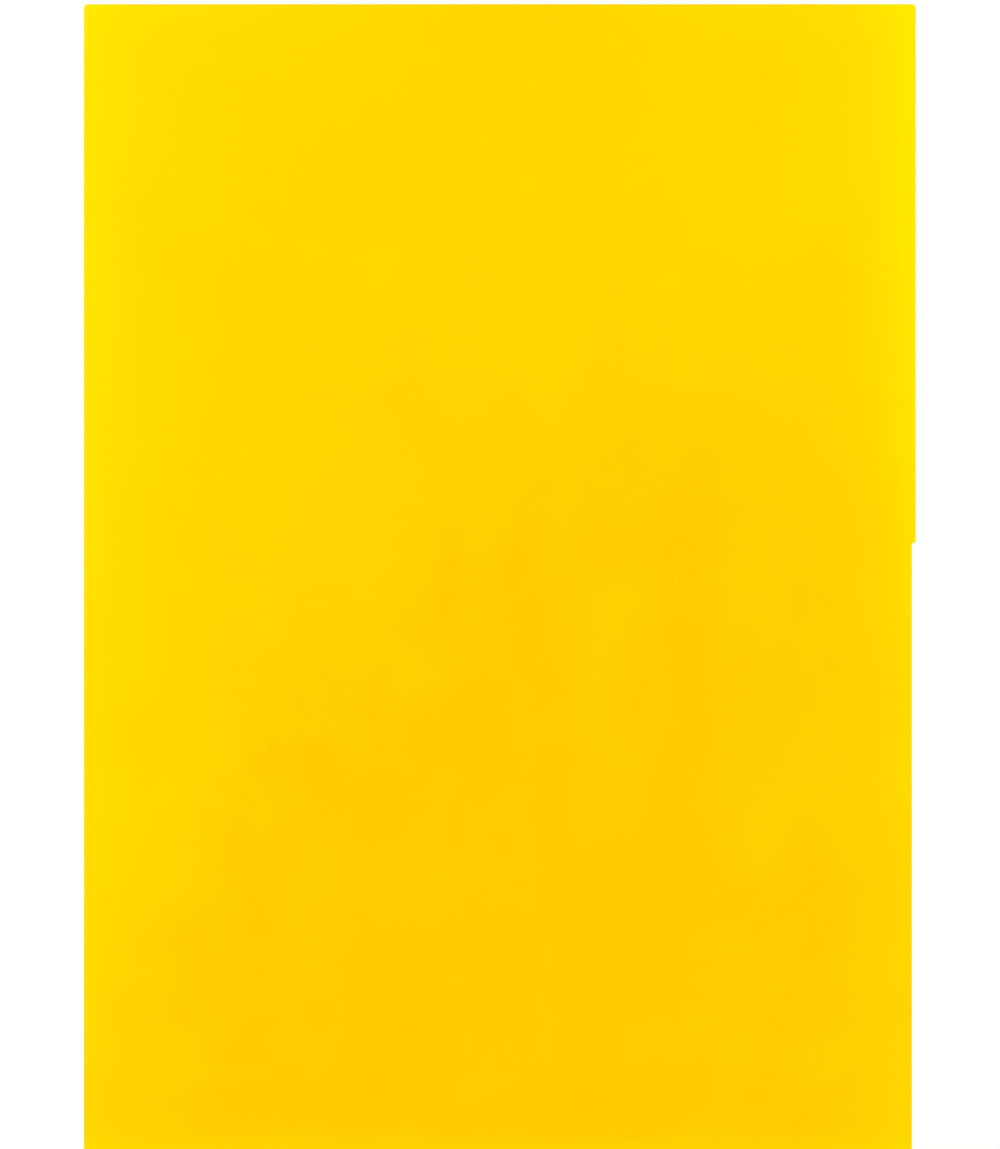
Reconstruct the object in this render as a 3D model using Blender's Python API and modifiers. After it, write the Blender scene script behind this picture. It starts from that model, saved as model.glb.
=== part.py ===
"""Free-standing welding curtain screen.

A plain yellow PVC film is the whole front face. It is carried from behind: pocket strips welded to
its back slide over a knock-down frame of round steel tube, which stands on two feet with four
swivel castors. The frame lies inside the film's outline, so nothing of it shows from the front.

Metres, +Z up. The origin is on the floor under the middle of the screen. The film faces -Y.
"""

import math

import bmesh
import bpy
from mathutils import Matrix, Vector

# ---------------------------------------------------------------- driving dimensions

GAP = 0.0003  # between pieces that touch

CURTAIN_WIDTH = 1.300
CURTAIN_HEIGHT = 1.800
CURTAIN_CLEARANCE = 0.200  # from the floor to the film's lower edge
FILM = 0.0004
CORNER_RADIUS = 0.006  # of the film's two upper corners
EDGE_STEP = 0.006  # how far the right edge steps in below the step
EDGE_STEP_DROP = 0.842  # from the upper edge down to that step

TUBE_DIAMETER = 0.025
TUBE_WALL = 0.0015
FRAME_INSET = 0.045  # from the film's edge to the axis of the tube behind it

POCKET_FLANGE = 0.011  # width of a strip's weld
POCKET_STAND = 0.0075  # from the tube's side to where the strip leaves the film
POCKET_END = 0.030  # from a fitting to the end of a pocket

ELBOW_BEND = 0.018  # centreline radius of the corner elbow
ELBOW_STRAIGHT = 0.012
SPIGOT_LENGTH = 0.035
SCREW_DIAMETER = 0.0042
SCREW_LENGTH = 0.010
SCREW_INSET = 0.015  # from the tube's end to the screw

SLEEVE_LENGTH = 0.120
SLEEVE_WALL = 0.0015
BUTTON_DIAMETER = 0.008
BUTTON_HEIGHT = 0.003  # how far it stands out of the tube
BUTTON_RISE = 0.030  # from the tubes' joint up to the button
BUTTON_FLANGE = 0.001
SPRING_STRIP = 0.0006
SPRING_WIDTH = 0.007
SPRING_DROP = 0.040

BOLT_DIAMETER = 0.006
PLUG_LENGTH = 0.030
BOLT_GRIP = 0.024  # length of the bolt inside the plug

FOOT_LENGTH = 0.530
FOOT_SECTION = 0.030
FOOT_WALL = 0.002
FOOT_CORNER = 0.003
CAP_HEAD = 0.003
CAP_DEPTH = 0.018
SOCKET_WALL = 0.002
SOCKET_PLAY = 0.0005  # radial, around the upright
SOCKET_HEIGHT = 0.075
KNOB_RISE = 0.041  # from the foot's top to the knob's axis
BOSS_DIAMETER = 0.016
BOSS_LENGTH = 0.009
KNOB_DIAMETER = 0.034
KNOB_LENGTH = 0.016
KNOB_LOBES = 6
KNOB_LOBE_DEPTH = 0.0018
STUD_DIAMETER = 0.008

WHEEL_RADIUS = 0.025
WHEEL_WIDTH = 0.018
CASTOR_INSET = 0.030  # from the foot's end to the castor's swivel axis
CASTOR_TRAIL = 0.020
FORK_SHEET = 0.002
FORK_SIDE_PLAY = 0.0015
FORK_HEADROOM = 0.012  # over the wheel
FORK_FRONT = 0.012  # from the axle to the fork's front edge
FORK_REAR = 0.012  # from the swivel axis to a leg's rear edge
FORK_SHOULDER = 0.005  # height of a leg's straight rear edge
AXLE_BOSS = 0.008  # radius of a leg round the axle
CUP_RADIUS = 0.018
CUP_HEIGHT = 0.006
KINGPIN_DIAMETER = 0.008
RIVET_HEAD = 0.0025
STEM_DIAMETER = 0.010
NUT_HEIGHT = 0.008
NUT_ACROSS_FLATS = 0.017
AXLE_DIAMETER = 0.006
AXLE_HEAD = 0.0018

PEDAL_PIN = 0.004
PEDAL_PIN_FORWARD = 0.008  # of the axle
PEDAL_THICKNESS = 0.0066
PEDAL_WIDTH = 0.016
PEDAL_SHOE_GAP = 0.004  # between the tread and the shoe, with the brake off
PEDAL_NECK = 0.004  # from the shoe to the pad
PEDAL_PAD_LENGTH = 0.016
PEDAL_PAD_WIDTH = 0.024
PEDAL_PAD_THICKNESS = 0.0036

ROUND = 24  # sides of a tube or a wheel
SMALL_ROUND = 12  # sides of a screw, pin or stud

# ---------------------------------------------------------------- sizes and places worked out

TUBE_RADIUS = TUBE_DIAMETER / 2
TUBE_BORE = TUBE_RADIUS - TUBE_WALL
SPIGOT_RADIUS = TUBE_BORE - GAP
SLEEVE_BORE = SPIGOT_RADIUS - SLEEVE_WALL
FILM_BACK = -(TUBE_RADIUS + GAP)  # Y of the film's rear face
CURTAIN_TOP = CURTAIN_CLEARANCE + CURTAIN_HEIGHT
UPRIGHT_X = CURTAIN_WIDTH / 2 - FRAME_INSET
TOP_RAIL_Z = CURTAIN_TOP - FRAME_INSET
BOTTOM_RAIL_Z = CURTAIN_CLEARANCE + FRAME_INSET
JOINT_Z = CURTAIN_TOP - EDGE_STEP_DROP  # where an upright's two tubes meet
ELBOW_LEG = ELBOW_BEND + ELBOW_STRAIGHT

BUTTON_FLANGE_RADIUS = BUTTON_DIAMETER / 2 + BUTTON_FLANGE
BUTTON_SEAT = math.sqrt(SLEEVE_BORE**2 - BUTTON_FLANGE_RADIUS**2) - GAP  # inside the sleeve's wall

FORK_INSIDE = WHEEL_WIDTH / 2 + FORK_SIDE_PLAY  # half the space between the fork's legs
FORK_OUTSIDE = FORK_INSIDE + FORK_SHEET
FORK_PLATE_Z = 2 * WHEEL_RADIUS + FORK_HEADROOM
CUP_Z = FORK_PLATE_Z + FORK_SHEET + GAP
FOOT_Z = CUP_Z + CUP_HEIGHT + GAP
FOOT_TOP = FOOT_Z + FOOT_SECTION
CASTOR_Y = FOOT_LENGTH / 2 - CASTOR_INSET
SOCKET_BORE = TUBE_RADIUS + SOCKET_PLAY
SOCKET_RADIUS = SOCKET_BORE + SOCKET_WALL
KNOB_Z = FOOT_TOP + KNOB_RISE
AXLE_PLACE = Vector((CASTOR_TRAIL, 0, WHEEL_RADIUS))  # these two are from the castor's swivel axis
PEDAL_PLACE = Vector((CASTOR_TRAIL + PEDAL_PIN_FORWARD, 0, 2 * WHEEL_RADIUS + FORK_HEADROOM / 2))

SIDES = {"left": -1, "right": 1}
ENDS = {"front": -1, "rear": 1}


# ---------------------------------------------------------------- scene helpers


def clear_scene():
    for obj in list(bpy.data.objects):
        bpy.data.objects.remove(obj)


def new_collection(name):
    collection = bpy.data.collections.new(name)
    bpy.context.scene.collection.children.link(collection)
    return collection


def new_material(name, colour, roughness, metallic=0.0):
    material = bpy.data.materials.new(name)
    material.use_nodes = True
    shader = material.node_tree.nodes["Principled BSDF"]
    shader.inputs["Base Color"].default_value = (*colour, 1)
    shader.inputs["Roughness"].default_value = roughness
    shader.inputs["Metallic"].default_value = metallic
    return material


def working_object(data):
    obj = bpy.data.objects.new("shape", data)
    bpy.context.scene.collection.objects.link(obj)
    return obj


def baked(obj):
    """The object with its modifiers applied, as one welded mesh whose faces point outwards."""
    bpy.context.view_layer.update()
    graph = bpy.context.evaluated_depsgraph_get()
    mesh = bpy.data.meshes.new_from_object(obj.evaluated_get(graph))
    mesh.transform(obj.matrix_world)
    bpy.data.objects.remove(obj)
    shape = bmesh.new()
    shape.from_mesh(mesh)
    bmesh.ops.remove_doubles(shape, verts=shape.verts, dist=1e-6)
    bmesh.ops.recalc_face_normals(shape, faces=shape.faces)
    shape.to_mesh(mesh)
    shape.free()
    return working_object(mesh)


def moved(obj, matrix):
    obj.data.transform(matrix)
    return obj


def combined(base, tool, operation):
    """The base after a Boolean with the tool, which is used up."""
    modifier = base.modifiers.new("Boolean", "BOOLEAN")
    modifier.operation = operation
    modifier.object = tool
    result = baked(base)
    bpy.data.objects.remove(tool)
    return result


def joined(base, *others):
    for other in others:
        base = combined(base, other, "UNION")
    return base


def cut(base, *cutters):
    for cutter in cutters:
        base = combined(base, cutter, "DIFFERENCE")
    return base


# ---------------------------------------------------------------- shape helpers


def facing(direction):
    """The turn that takes +Z to this direction."""
    return Vector(direction).to_track_quat("Z", "Y").to_matrix().to_4x4()


def rod(radius, start, end, segments=SMALL_ROUND):
    """A solid round bar between two points."""
    start, end = Vector(start), Vector(end)
    along = end - start
    shape = bmesh.new()
    bmesh.ops.create_cone(
        shape,
        cap_ends=True,
        segments=segments,
        radius1=radius,
        radius2=radius,
        depth=along.length,
    )
    shape.transform(Matrix.Translation((start + end) / 2) @ facing(along))
    mesh = bpy.data.meshes.new("rod")
    shape.to_mesh(mesh)
    shape.free()
    return working_object(mesh)


def tube(radius, wall, start, end):
    """A round tube with open ends."""
    past_end = (Vector(end) - Vector(start)).normalized() * wall
    bore = rod(radius - wall, Vector(start) - past_end, Vector(end) + past_end, ROUND)
    return cut(rod(radius, start, end, ROUND), bore)


def block(low, high, bevel=0.0, along=None):
    """A box between two corners. Its edges along one axis (0, 1 or 2), or all of them, are rounded."""
    low, high = Vector(low), Vector(high)
    shape = bmesh.new()
    bmesh.ops.create_cube(shape, size=1)
    shape.transform(Matrix.Translation((low + high) / 2) @ Matrix.Diagonal((*(high - low), 1)))
    if bevel:
        edges = [edge for edge in shape.edges if along is None or runs_along(edge, along)]
        bmesh.ops.bevel(shape, geom=edges, offset=bevel, segments=3, profile=0.5, affect="EDGES")
    mesh = bpy.data.meshes.new("block")
    shape.to_mesh(mesh)
    shape.free()
    return working_object(mesh)


def runs_along(edge, axis):
    direction = (edge.verts[1].co - edge.verts[0].co).normalized()
    return abs(direction[axis]) > 0.99


def arc(centre, radius, first, last, steps):
    """Points along an arc in a plane, with its angles in degrees."""
    angles = [math.radians(first + (last - first) * step / steps) for step in range(steps + 1)]
    x, y = centre
    return [(x + radius * math.cos(angle), y + radius * math.sin(angle)) for angle in angles]


def flat_curve(points, height, closed):
    """A curve in the XY plane, swept along Z by this height, half of it to each side."""
    curve = bpy.data.curves.new("outline", "CURVE")
    curve.dimensions = "2D"
    curve.fill_mode = "BOTH" if closed else "NONE"
    curve.extrude = height / 2
    spline = curve.splines.new("POLY")
    spline.points.add(len(points) - 1)
    for target, point in zip(spline.points, points):
        target.co = (*point, 0, 1)
    spline.use_cyclic_u = closed
    return working_object(curve)


def plate(outline, thickness):
    """A flat plate with its outline in XY and its thickness along Z."""
    return baked(flat_curve(outline, thickness, closed=True))


def upright_plate(outline, thickness):
    """A plate that stands on edge, with its outline in XZ and its thickness along Y."""
    return moved(plate(outline, thickness), Matrix.Rotation(math.radians(90), 4, "X"))


def strip(path, width, thickness):
    """A bent strip of sheet, with its path in XY and its width along Z."""
    obj = flat_curve(path, width, closed=False)
    solidify = obj.modifiers.new("Thickness", "SOLIDIFY")
    solidify.thickness = thickness
    solidify.offset = 0
    solidify.use_even_offset = True
    return baked(obj)


def turned(profile, segments=SMALL_ROUND):
    """A shape turned about Z, from (radius, height) pairs that run from the top down the outside."""
    closes_on_axis = profile[0][0] == 0
    edges = [(point, point + 1) for point in range(len(profile) - 1)]
    if not closes_on_axis:
        edges.append((len(profile) - 1, 0))
    mesh = bpy.data.meshes.new("profile")
    mesh.from_pydata([(radius, 0, height) for radius, height in profile], edges, [])
    obj = working_object(mesh)
    screw = obj.modifiers.new("Turn", "SCREW")
    screw.steps = screw.render_steps = segments
    screw.use_merge_vertices = True
    screw.merge_threshold = 0.00001
    return baked(obj)


# ---------------------------------------------------------------- curtain


def curtain_film():
    """The whole front face: one flat sheet, with a small step in its right edge."""
    half, top, radius = CURTAIN_WIDTH / 2, CURTAIN_HEIGHT, CORNER_RADIUS
    outline = [
        (-half, 0),
        (half - EDGE_STEP, 0),
        (half - EDGE_STEP, top - EDGE_STEP_DROP),
        (half, top - EDGE_STEP_DROP),
        *arc((half - radius, top - radius), radius, 0, 90, 4),
        *arc((-half + radius, top - radius), radius, 90, 180, 4),
    ]
    return upright_plate(outline, FILM)


def pocket(length):
    """A strip that wraps a tube from behind. The tube runs along Z, and the film is on the -X side."""
    radius = TUBE_RADIUS + GAP + FILM / 2
    flange_x = FILM_BACK + GAP + FILM / 2
    leaving = TUBE_RADIUS + POCKET_STAND
    reach = math.hypot(flange_x, leaving)
    tangent = math.degrees(math.atan2(leaving, flange_x) - math.acos(radius / reach))
    path = [
        (flange_x, leaving + POCKET_FLANGE),
        (flange_x, leaving),
        *arc((0, 0), radius, tangent, -tangent, 8),
        (flange_x, -leaving),
        (flange_x, -leaving - POCKET_FLANGE),
    ]
    return strip(path, length, FILM)


def rail_pocket(length):
    """The pocket laid along X."""
    along_x = Matrix(((0, 0, 1, 0), (1, 0, 0, 0), (0, 1, 0, 0), (0, 0, 0, 1)))
    return moved(pocket(length), along_x)


def upright_pocket(length):
    """The pocket standing along Z, with the film on its -Y side."""
    return moved(pocket(length), Matrix.Rotation(math.radians(90), 4, "Z"))


# ---------------------------------------------------------------- frame


def screw_hole(x, z):
    """A cutter for one screw that enters a tube from behind."""
    tip = TUBE_RADIUS - SCREW_LENGTH - GAP
    return rod(SCREW_DIAMETER / 2 + GAP, (x, tip, z), (x, TUBE_RADIUS + TUBE_WALL, z))


def fixing_screw():
    """A pan-head screw. Its head's seat is at Z = 0 and its shank runs down."""
    radius = SCREW_DIAMETER / 2
    head = 2 * radius
    return turned(
        [
            (0, 1.2 * radius),
            (0.6 * head, 1.1 * radius),
            (head, 0.6 * radius),
            (head, 0),
            (radius, 0),
            (radius, -SCREW_LENGTH + radius),
            (0, -SCREW_LENGTH),
        ]
    )


def top_rail():
    end = UPRIGHT_X - ELBOW_LEG - GAP
    screw_x = end - SCREW_INSET
    rail = tube(TUBE_RADIUS, TUBE_WALL, (-end, 0, 0), (end, 0, 0))
    return cut(rail, screw_hole(-screw_x, 0), screw_hole(screw_x, 0))


def bottom_rail():
    """The lower rail, its ends coped to the uprights."""
    rail = tube(TUBE_RADIUS, TUBE_WALL, (-UPRIGHT_X, 0, 0), (UPRIGHT_X, 0, 0))
    for side in SIDES.values():
        low, high = (side * UPRIGHT_X, 0, -TUBE_DIAMETER), (side * UPRIGHT_X, 0, TUBE_DIAMETER)
        rail = cut(rail, rod(TUBE_RADIUS + GAP, low, high, ROUND))
    return rail


def rail_plug():
    """The threaded plug in a lower rail's end, which runs along X from its outer face."""
    body = rod(SPIGOT_RADIUS, (0, 0, 0), (PLUG_LENGTH, 0, 0), ROUND)
    return cut(body, rod(BOLT_DIAMETER / 2 + GAP, (-GAP, 0, 0), (PLUG_LENGTH + GAP, 0, 0)))


def rail_bolt():
    """A button-head bolt. Its head's seat is at Z = 0 and its shank runs down."""
    radius = BOLT_DIAMETER / 2
    head = 1.85 * radius
    tip = -(TUBE_DIAMETER + 2 * GAP + BOLT_GRIP)
    return turned(
        [
            (0, 1.1 * radius),
            (0.6 * head, 0.95 * radius),
            (head, 0.35 * radius),
            (head, 0),
            (radius, 0),
            (radius, tip + radius / 3),
            (0.7 * radius, tip),
            (0, tip),
        ]
    )


def button_hole():
    """A cutter for the snap button, which stands out behind."""
    high = BUTTON_RISE
    return rod(BUTTON_DIAMETER / 2 + GAP, (0, 0, high), (0, TUBE_DIAMETER, high), ROUND)


def upper_upright():
    """From the tubes' joint at Z = 0 up to the elbow."""
    top = TOP_RAIL_Z - ELBOW_LEG - GAP - JOINT_Z
    post = tube(TUBE_RADIUS, TUBE_WALL, (0, 0, GAP / 2), (0, 0, top))
    return cut(post, button_hole(), screw_hole(0, top - SCREW_INSET))


def lower_upright():
    """From the foot up to the tubes' joint at Z = 0, with a cross hole for the lower rail's bolt."""
    post = tube(TUBE_RADIUS, TUBE_WALL, (0, 0, FOOT_TOP + GAP - JOINT_Z), (0, 0, -GAP / 2))
    bolt_z = BOTTOM_RAIL_Z - JOINT_Z
    across = (-TUBE_DIAMETER, 0, bolt_z), (TUBE_DIAMETER, 0, bolt_z)
    return cut(post, rod(BOLT_DIAMETER / 2 + GAP, *across))


def corner_elbow(side):
    """A bent bar as thick as the tubes, with a spigot for each of them. Its corner is at the origin."""
    inward = -side
    bend = [
        (inward * (ELBOW_BEND + x), z - ELBOW_BEND)
        for x, z in arc((0, 0), ELBOW_BEND, 90, 180, 6)
    ]
    path = [(inward * ELBOW_LEG, 0), *bend, (0, -ELBOW_LEG)]
    curve = bpy.data.curves.new("elbow", "CURVE")
    curve.dimensions = "3D"
    curve.bevel_depth = TUBE_RADIUS
    curve.bevel_resolution = ROUND // 2 - 2
    curve.use_fill_caps = True
    spline = curve.splines.new("POLY")
    spline.points.add(len(path) - 1)
    for target, (x, z) in zip(spline.points, path):
        target.co = (x, 0, z, 1)
    elbow = baked(working_object(curve))
    root, tip = ELBOW_LEG - SPIGOT_RADIUS / 2, ELBOW_LEG + SPIGOT_LENGTH
    elbow = joined(
        elbow,
        rod(SPIGOT_RADIUS, (inward * root, 0, 0), (inward * tip, 0, 0), ROUND),
        rod(SPIGOT_RADIUS, (0, 0, -root), (0, 0, -tip), ROUND),
    )
    hole = ELBOW_LEG + GAP + SCREW_INSET
    return cut(elbow, screw_hole(inward * hole, 0), screw_hole(0, -hole))


def joint_sleeve():
    """The inner tube that joins an upright's two tubes, with the hole for its button."""
    half = SLEEVE_LENGTH / 2
    sleeve = tube(SPIGOT_RADIUS, SLEEVE_WALL, (0, 0, -half), (0, 0, half))
    return cut(sleeve, button_hole())


def snap_button():
    """The sprung button along Z, measured from the tube's axis. Its flange stays in the sleeve."""
    radius = BUTTON_DIAMETER / 2
    tip = TUBE_RADIUS + BUTTON_HEIGHT
    return turned(
        [
            (0, tip),
            (0.6 * radius, tip - 0.15 * radius),
            (radius, tip - 0.65 * radius),
            (radius, BUTTON_SEAT),
            (BUTTON_FLANGE_RADIUS, BUTTON_SEAT),
            (BUTTON_FLANGE_RADIUS, BUTTON_SEAT - BUTTON_FLANGE),
            (0, BUTTON_SEAT - BUTTON_FLANGE),
        ],
        ROUND,
    )


def button_spring():
    """A hairpin leaf inside the sleeve. One arm lies on the far wall, the other carries the button."""
    near = BUTTON_SEAT - BUTTON_FLANGE - GAP - SPRING_STRIP / 2
    far_wall = math.sqrt(SLEEVE_BORE**2 - (SPRING_WIDTH / 2) ** 2)
    far = -(far_wall - GAP - SPRING_STRIP / 2)
    path = [
        (near, BUTTON_RISE + BUTTON_FLANGE_RADIUS),
        *arc(((near + far) / 2, BUTTON_RISE - SPRING_DROP), (near - far) / 2, 0, -180, 10),
        (far, BUTTON_RISE + BUTTON_FLANGE_RADIUS),
    ]
    leaf = strip(path, SPRING_WIDTH, SPRING_STRIP)
    across_x = Matrix(((0, 0, 1, 0), (1, 0, 0, 0), (0, 1, 0, 0), (0, 0, 0, 1)))
    return moved(leaf, across_x)


# ---------------------------------------------------------------- feet


def foot():
    """A square tube that runs front to back, with the upright's socket and its threaded boss."""
    half, inside, length = FOOT_SECTION / 2, FOOT_SECTION / 2 - FOOT_WALL, FOOT_LENGTH / 2
    socket_top = FOOT_TOP + SOCKET_HEIGHT
    boss_start, boss_end = SOCKET_BORE + SOCKET_WALL / 2, SOCKET_RADIUS + BOSS_LENGTH
    body = joined(
        block((-half, -length, FOOT_Z), (half, length, FOOT_TOP), FOOT_CORNER, along=1),
        rod(SOCKET_RADIUS, (0, 0, FOOT_TOP - FOOT_WALL / 2), (0, 0, socket_top), ROUND),
        rod(BOSS_DIAMETER / 2, (0, boss_start, KNOB_Z), (0, boss_end, KNOB_Z)),
    )
    body = cut(
        body,
        block(
            (-inside, -length - FOOT_WALL, FOOT_Z + FOOT_WALL),
            (inside, length + FOOT_WALL, FOOT_TOP - FOOT_WALL),
        ),
        rod(SOCKET_BORE, (0, 0, FOOT_TOP), (0, 0, socket_top + FOOT_WALL), ROUND),
        rod(STUD_DIAMETER / 2 + GAP, (0, 0, KNOB_Z), (0, boss_end + FOOT_WALL, KNOB_Z)),
    )
    for end in ENDS.values():
        y = end * CASTOR_Y
        low, high = (0, y, FOOT_Z - FOOT_WALL), (0, y, FOOT_TOP + FOOT_WALL)
        body = cut(body, rod(STEM_DIAMETER / 2 + GAP, low, high))
    return body


def foot_cap():
    """A plastic plug for the foot's end. The foot ends at Y = 0 and lies towards -Y."""
    half = FOOT_SECTION / 2
    inside = half - FOOT_WALL - GAP
    head = block((-half, GAP, -half), (half, GAP + CAP_HEAD, half), FOOT_CORNER, along=1)
    insert = block((-inside, -CAP_DEPTH, -inside), (inside, GAP + CAP_HEAD / 2, inside))
    return joined(head, insert)


def clamp_knob():
    """A lobed knob and its stud along Z, measured from the upright's axis."""
    steps = 6 * KNOB_LOBES
    middle, wave = KNOB_DIAMETER / 2 - KNOB_LOBE_DEPTH / 2, KNOB_LOBE_DEPTH / 2
    outline = []
    for step in range(steps):
        angle = 2 * math.pi * step / steps
        radius = middle + wave * math.cos(KNOB_LOBES * angle)
        outline.append((radius * math.cos(angle), radius * math.sin(angle)))
    seat = SOCKET_RADIUS + BOSS_LENGTH + GAP
    centre = seat + KNOB_LENGTH / 2
    head = moved(plate(outline, KNOB_LENGTH), Matrix.Translation((0, 0, centre)))
    stud = rod(STUD_DIAMETER / 2, (0, 0, TUBE_RADIUS + GAP), (0, 0, centre))
    return joined(head, stud)


# ---------------------------------------------------------------- castors, each from its swivel axis


def castor_stem():
    """The part of a castor that doesn't turn: threaded stem, bearing cup and riveted kingpin."""
    stem, pin = STEM_DIAMETER / 2, KINGPIN_DIAMETER / 2
    stem_top = FOOT_TOP + GAP + NUT_HEIGHT + stem / 2
    cup_top = CUP_Z + CUP_HEIGHT
    rivet_top = FORK_PLATE_Z - GAP
    return turned(
        [
            (0, stem_top),
            (0.8 * stem, stem_top),
            (stem, stem_top - 0.2 * stem),
            (stem, cup_top),
            (0.9 * CUP_RADIUS, cup_top),
            (CUP_RADIUS, cup_top - CUP_HEIGHT / 4),
            (CUP_RADIUS, CUP_Z),
            (pin, CUP_Z),
            (pin, rivet_top),
            (1.75 * pin, rivet_top),
            (1.5 * pin, rivet_top - RIVET_HEAD),
            (0, rivet_top - RIVET_HEAD),
        ],
        16,
    )


def castor_nut():
    low = FOOT_TOP + GAP
    corner = NUT_ACROSS_FLATS / 2 / math.cos(math.pi / 6)
    hexagon = arc((0, 0), corner, 0, 300, 5)
    nut = moved(plate(hexagon, NUT_HEIGHT), Matrix.Translation((0, 0, low + NUT_HEIGHT / 2)))
    bore = rod(STEM_DIAMETER / 2 + GAP, (0, 0, low - GAP), (0, 0, low + NUT_HEIGHT + GAP), 16)
    return cut(nut, bore)


def fork_plate():
    """The fork's top: round under the bearing cup, and straight out over the wheel."""
    side = FORK_OUTSIDE - FORK_SHEET / 4
    meeting = math.degrees(math.asin(side / CUP_RADIUS))
    outline = [
        (CASTOR_TRAIL + FORK_FRONT, -side),
        (CASTOR_TRAIL + FORK_FRONT, side),
        *arc((0, 0), CUP_RADIUS, meeting, 360 - meeting, 12),
    ]
    lift = Matrix.Translation((0, 0, FORK_PLATE_Z + FORK_SHEET / 2))
    return moved(plate(outline, FORK_SHEET), lift)


def fork_leg(side):
    """One leg, from the plate down round the axle."""
    top = FORK_PLATE_Z + FORK_SHEET / 2
    outline = [
        (-FORK_REAR, top),
        (-FORK_REAR, top - FORK_SHOULDER),
        *arc((AXLE_PLACE.x, AXLE_PLACE.z), AXLE_BOSS, 180, 360, 8),
        (CASTOR_TRAIL + FORK_FRONT, 2 * WHEEL_RADIUS),
        (CASTOR_TRAIL + FORK_FRONT, top),
    ]
    aside = Matrix.Translation((0, side * (FORK_INSIDE + FORK_SHEET / 2), 0))
    return moved(upright_plate(outline, FORK_SHEET), aside)


def castor_fork(braked):
    body = joined(fork_plate(), fork_leg(-1), fork_leg(1))
    across = Vector((0, 2 * FORK_OUTSIDE, 0))
    below, above = (0, 0, FORK_PLATE_Z - FORK_SHEET), (0, 0, FORK_PLATE_Z + 2 * FORK_SHEET)
    body = cut(
        body,
        rod(KINGPIN_DIAMETER / 2 + GAP, below, above, 16),
        rod(AXLE_DIAMETER / 2 + GAP, AXLE_PLACE - across, AXLE_PLACE + across),
    )
    if braked:
        body = cut(body, rod(PEDAL_PIN / 2 + GAP, PEDAL_PLACE - across, PEDAL_PLACE + across))
    return body


def castor_wheel():
    """A tread on a hub, turned about the axle, which lies along Y. One flat of the tread is down."""
    half, bore = WHEEL_WIDTH / 2, AXLE_DIAMETER / 2 + GAP
    tread = WHEEL_RADIUS / math.cos(math.pi / ROUND)
    hub, hub_half = 0.45 * WHEEL_RADIUS, FORK_INSIDE - GAP
    upper = [
        (tread, 0.6 * half),
        (0.93 * tread, half),
        (0.8 * tread, half),
        (0.76 * tread, 0.6 * half),
        (hub, 0.6 * half),
        (hub, hub_half),
        (bore, hub_half),
    ]
    lower = [(radius, -height) for radius, height in upper]
    wheel = turned([*reversed(upper), *lower], ROUND)
    flat_down = Matrix.Rotation(math.pi / ROUND, 4, "Y")
    return moved(wheel, flat_down @ Matrix.Rotation(math.radians(90), 4, "X"))


def castor_axle():
    """A riveted axle along Y."""
    radius, seat = AXLE_DIAMETER / 2, FORK_OUTSIDE + GAP
    upper = [
        (0, seat + AXLE_HEAD),
        (1.4 * radius, seat + AXLE_HEAD),
        (1.8 * radius, seat + AXLE_HEAD / 2),
        (1.8 * radius, seat),
        (radius, seat),
    ]
    lower = [(spread, -height) for spread, height in reversed(upper)]
    return moved(turned([*upper, *lower]), Matrix.Rotation(math.radians(90), 4, "X"))


def brake_pedal():
    """A rocking pedal with a shoe over the tread. Its pin lies along Y."""
    axle = AXLE_PLACE - PEDAL_PLACE
    thick = PEDAL_THICKNESS / 2
    shoe = arc((axle.x, axle.z), WHEEL_RADIUS + PEDAL_SHOE_GAP, 75, 50, 4)
    heel_x, heel_z = shoe[-1]
    pad_x = heel_x + PEDAL_NECK
    pad_top = heel_z + PEDAL_PAD_THICKNESS
    outline = [
        (-thick, -thick),
        *shoe,
        (pad_x, heel_z),
        (pad_x + PEDAL_PAD_LENGTH / 2, heel_z + GAP),
        (pad_x + PEDAL_PAD_LENGTH / 2, pad_top - GAP),
        (pad_x, pad_top),
        (1.5 * thick, thick),
        (-thick, thick),
    ]
    low = (pad_x, -PEDAL_PAD_WIDTH / 2, heel_z + GAP / 2)
    high = (pad_x + PEDAL_PAD_LENGTH, PEDAL_PAD_WIDTH / 2, pad_top - GAP / 2)
    pad = block(low, high, PEDAL_PAD_THICKNESS / 3)
    pin_end = Vector((0, FORK_OUTSIDE - GAP, 0))
    pin = rod(PEDAL_PIN / 2, -pin_end, pin_end)
    return joined(upright_plate(outline, PEDAL_WIDTH), pad, pin)


# ---------------------------------------------------------------- assembly


def finished(name, shape, material):
    """The shape's mesh, shaded and coloured, to be placed as often as the screen needs it."""
    mesh = shape.data
    bpy.data.objects.remove(shape)
    mesh.name = name
    mesh.shade_smooth()
    mesh.set_sharp_from_angle(angle=math.radians(35))
    mesh.materials.clear()
    mesh.materials.append(material)
    return mesh


def place(name, mesh, location=(0, 0, 0), turn=None, parent=None):
    obj = bpy.data.objects.new(name, mesh)
    obj.matrix_world = Matrix.Translation(location) @ (turn or Matrix.Identity(4))
    obj.parent = parent
    screen.objects.link(obj)


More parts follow.
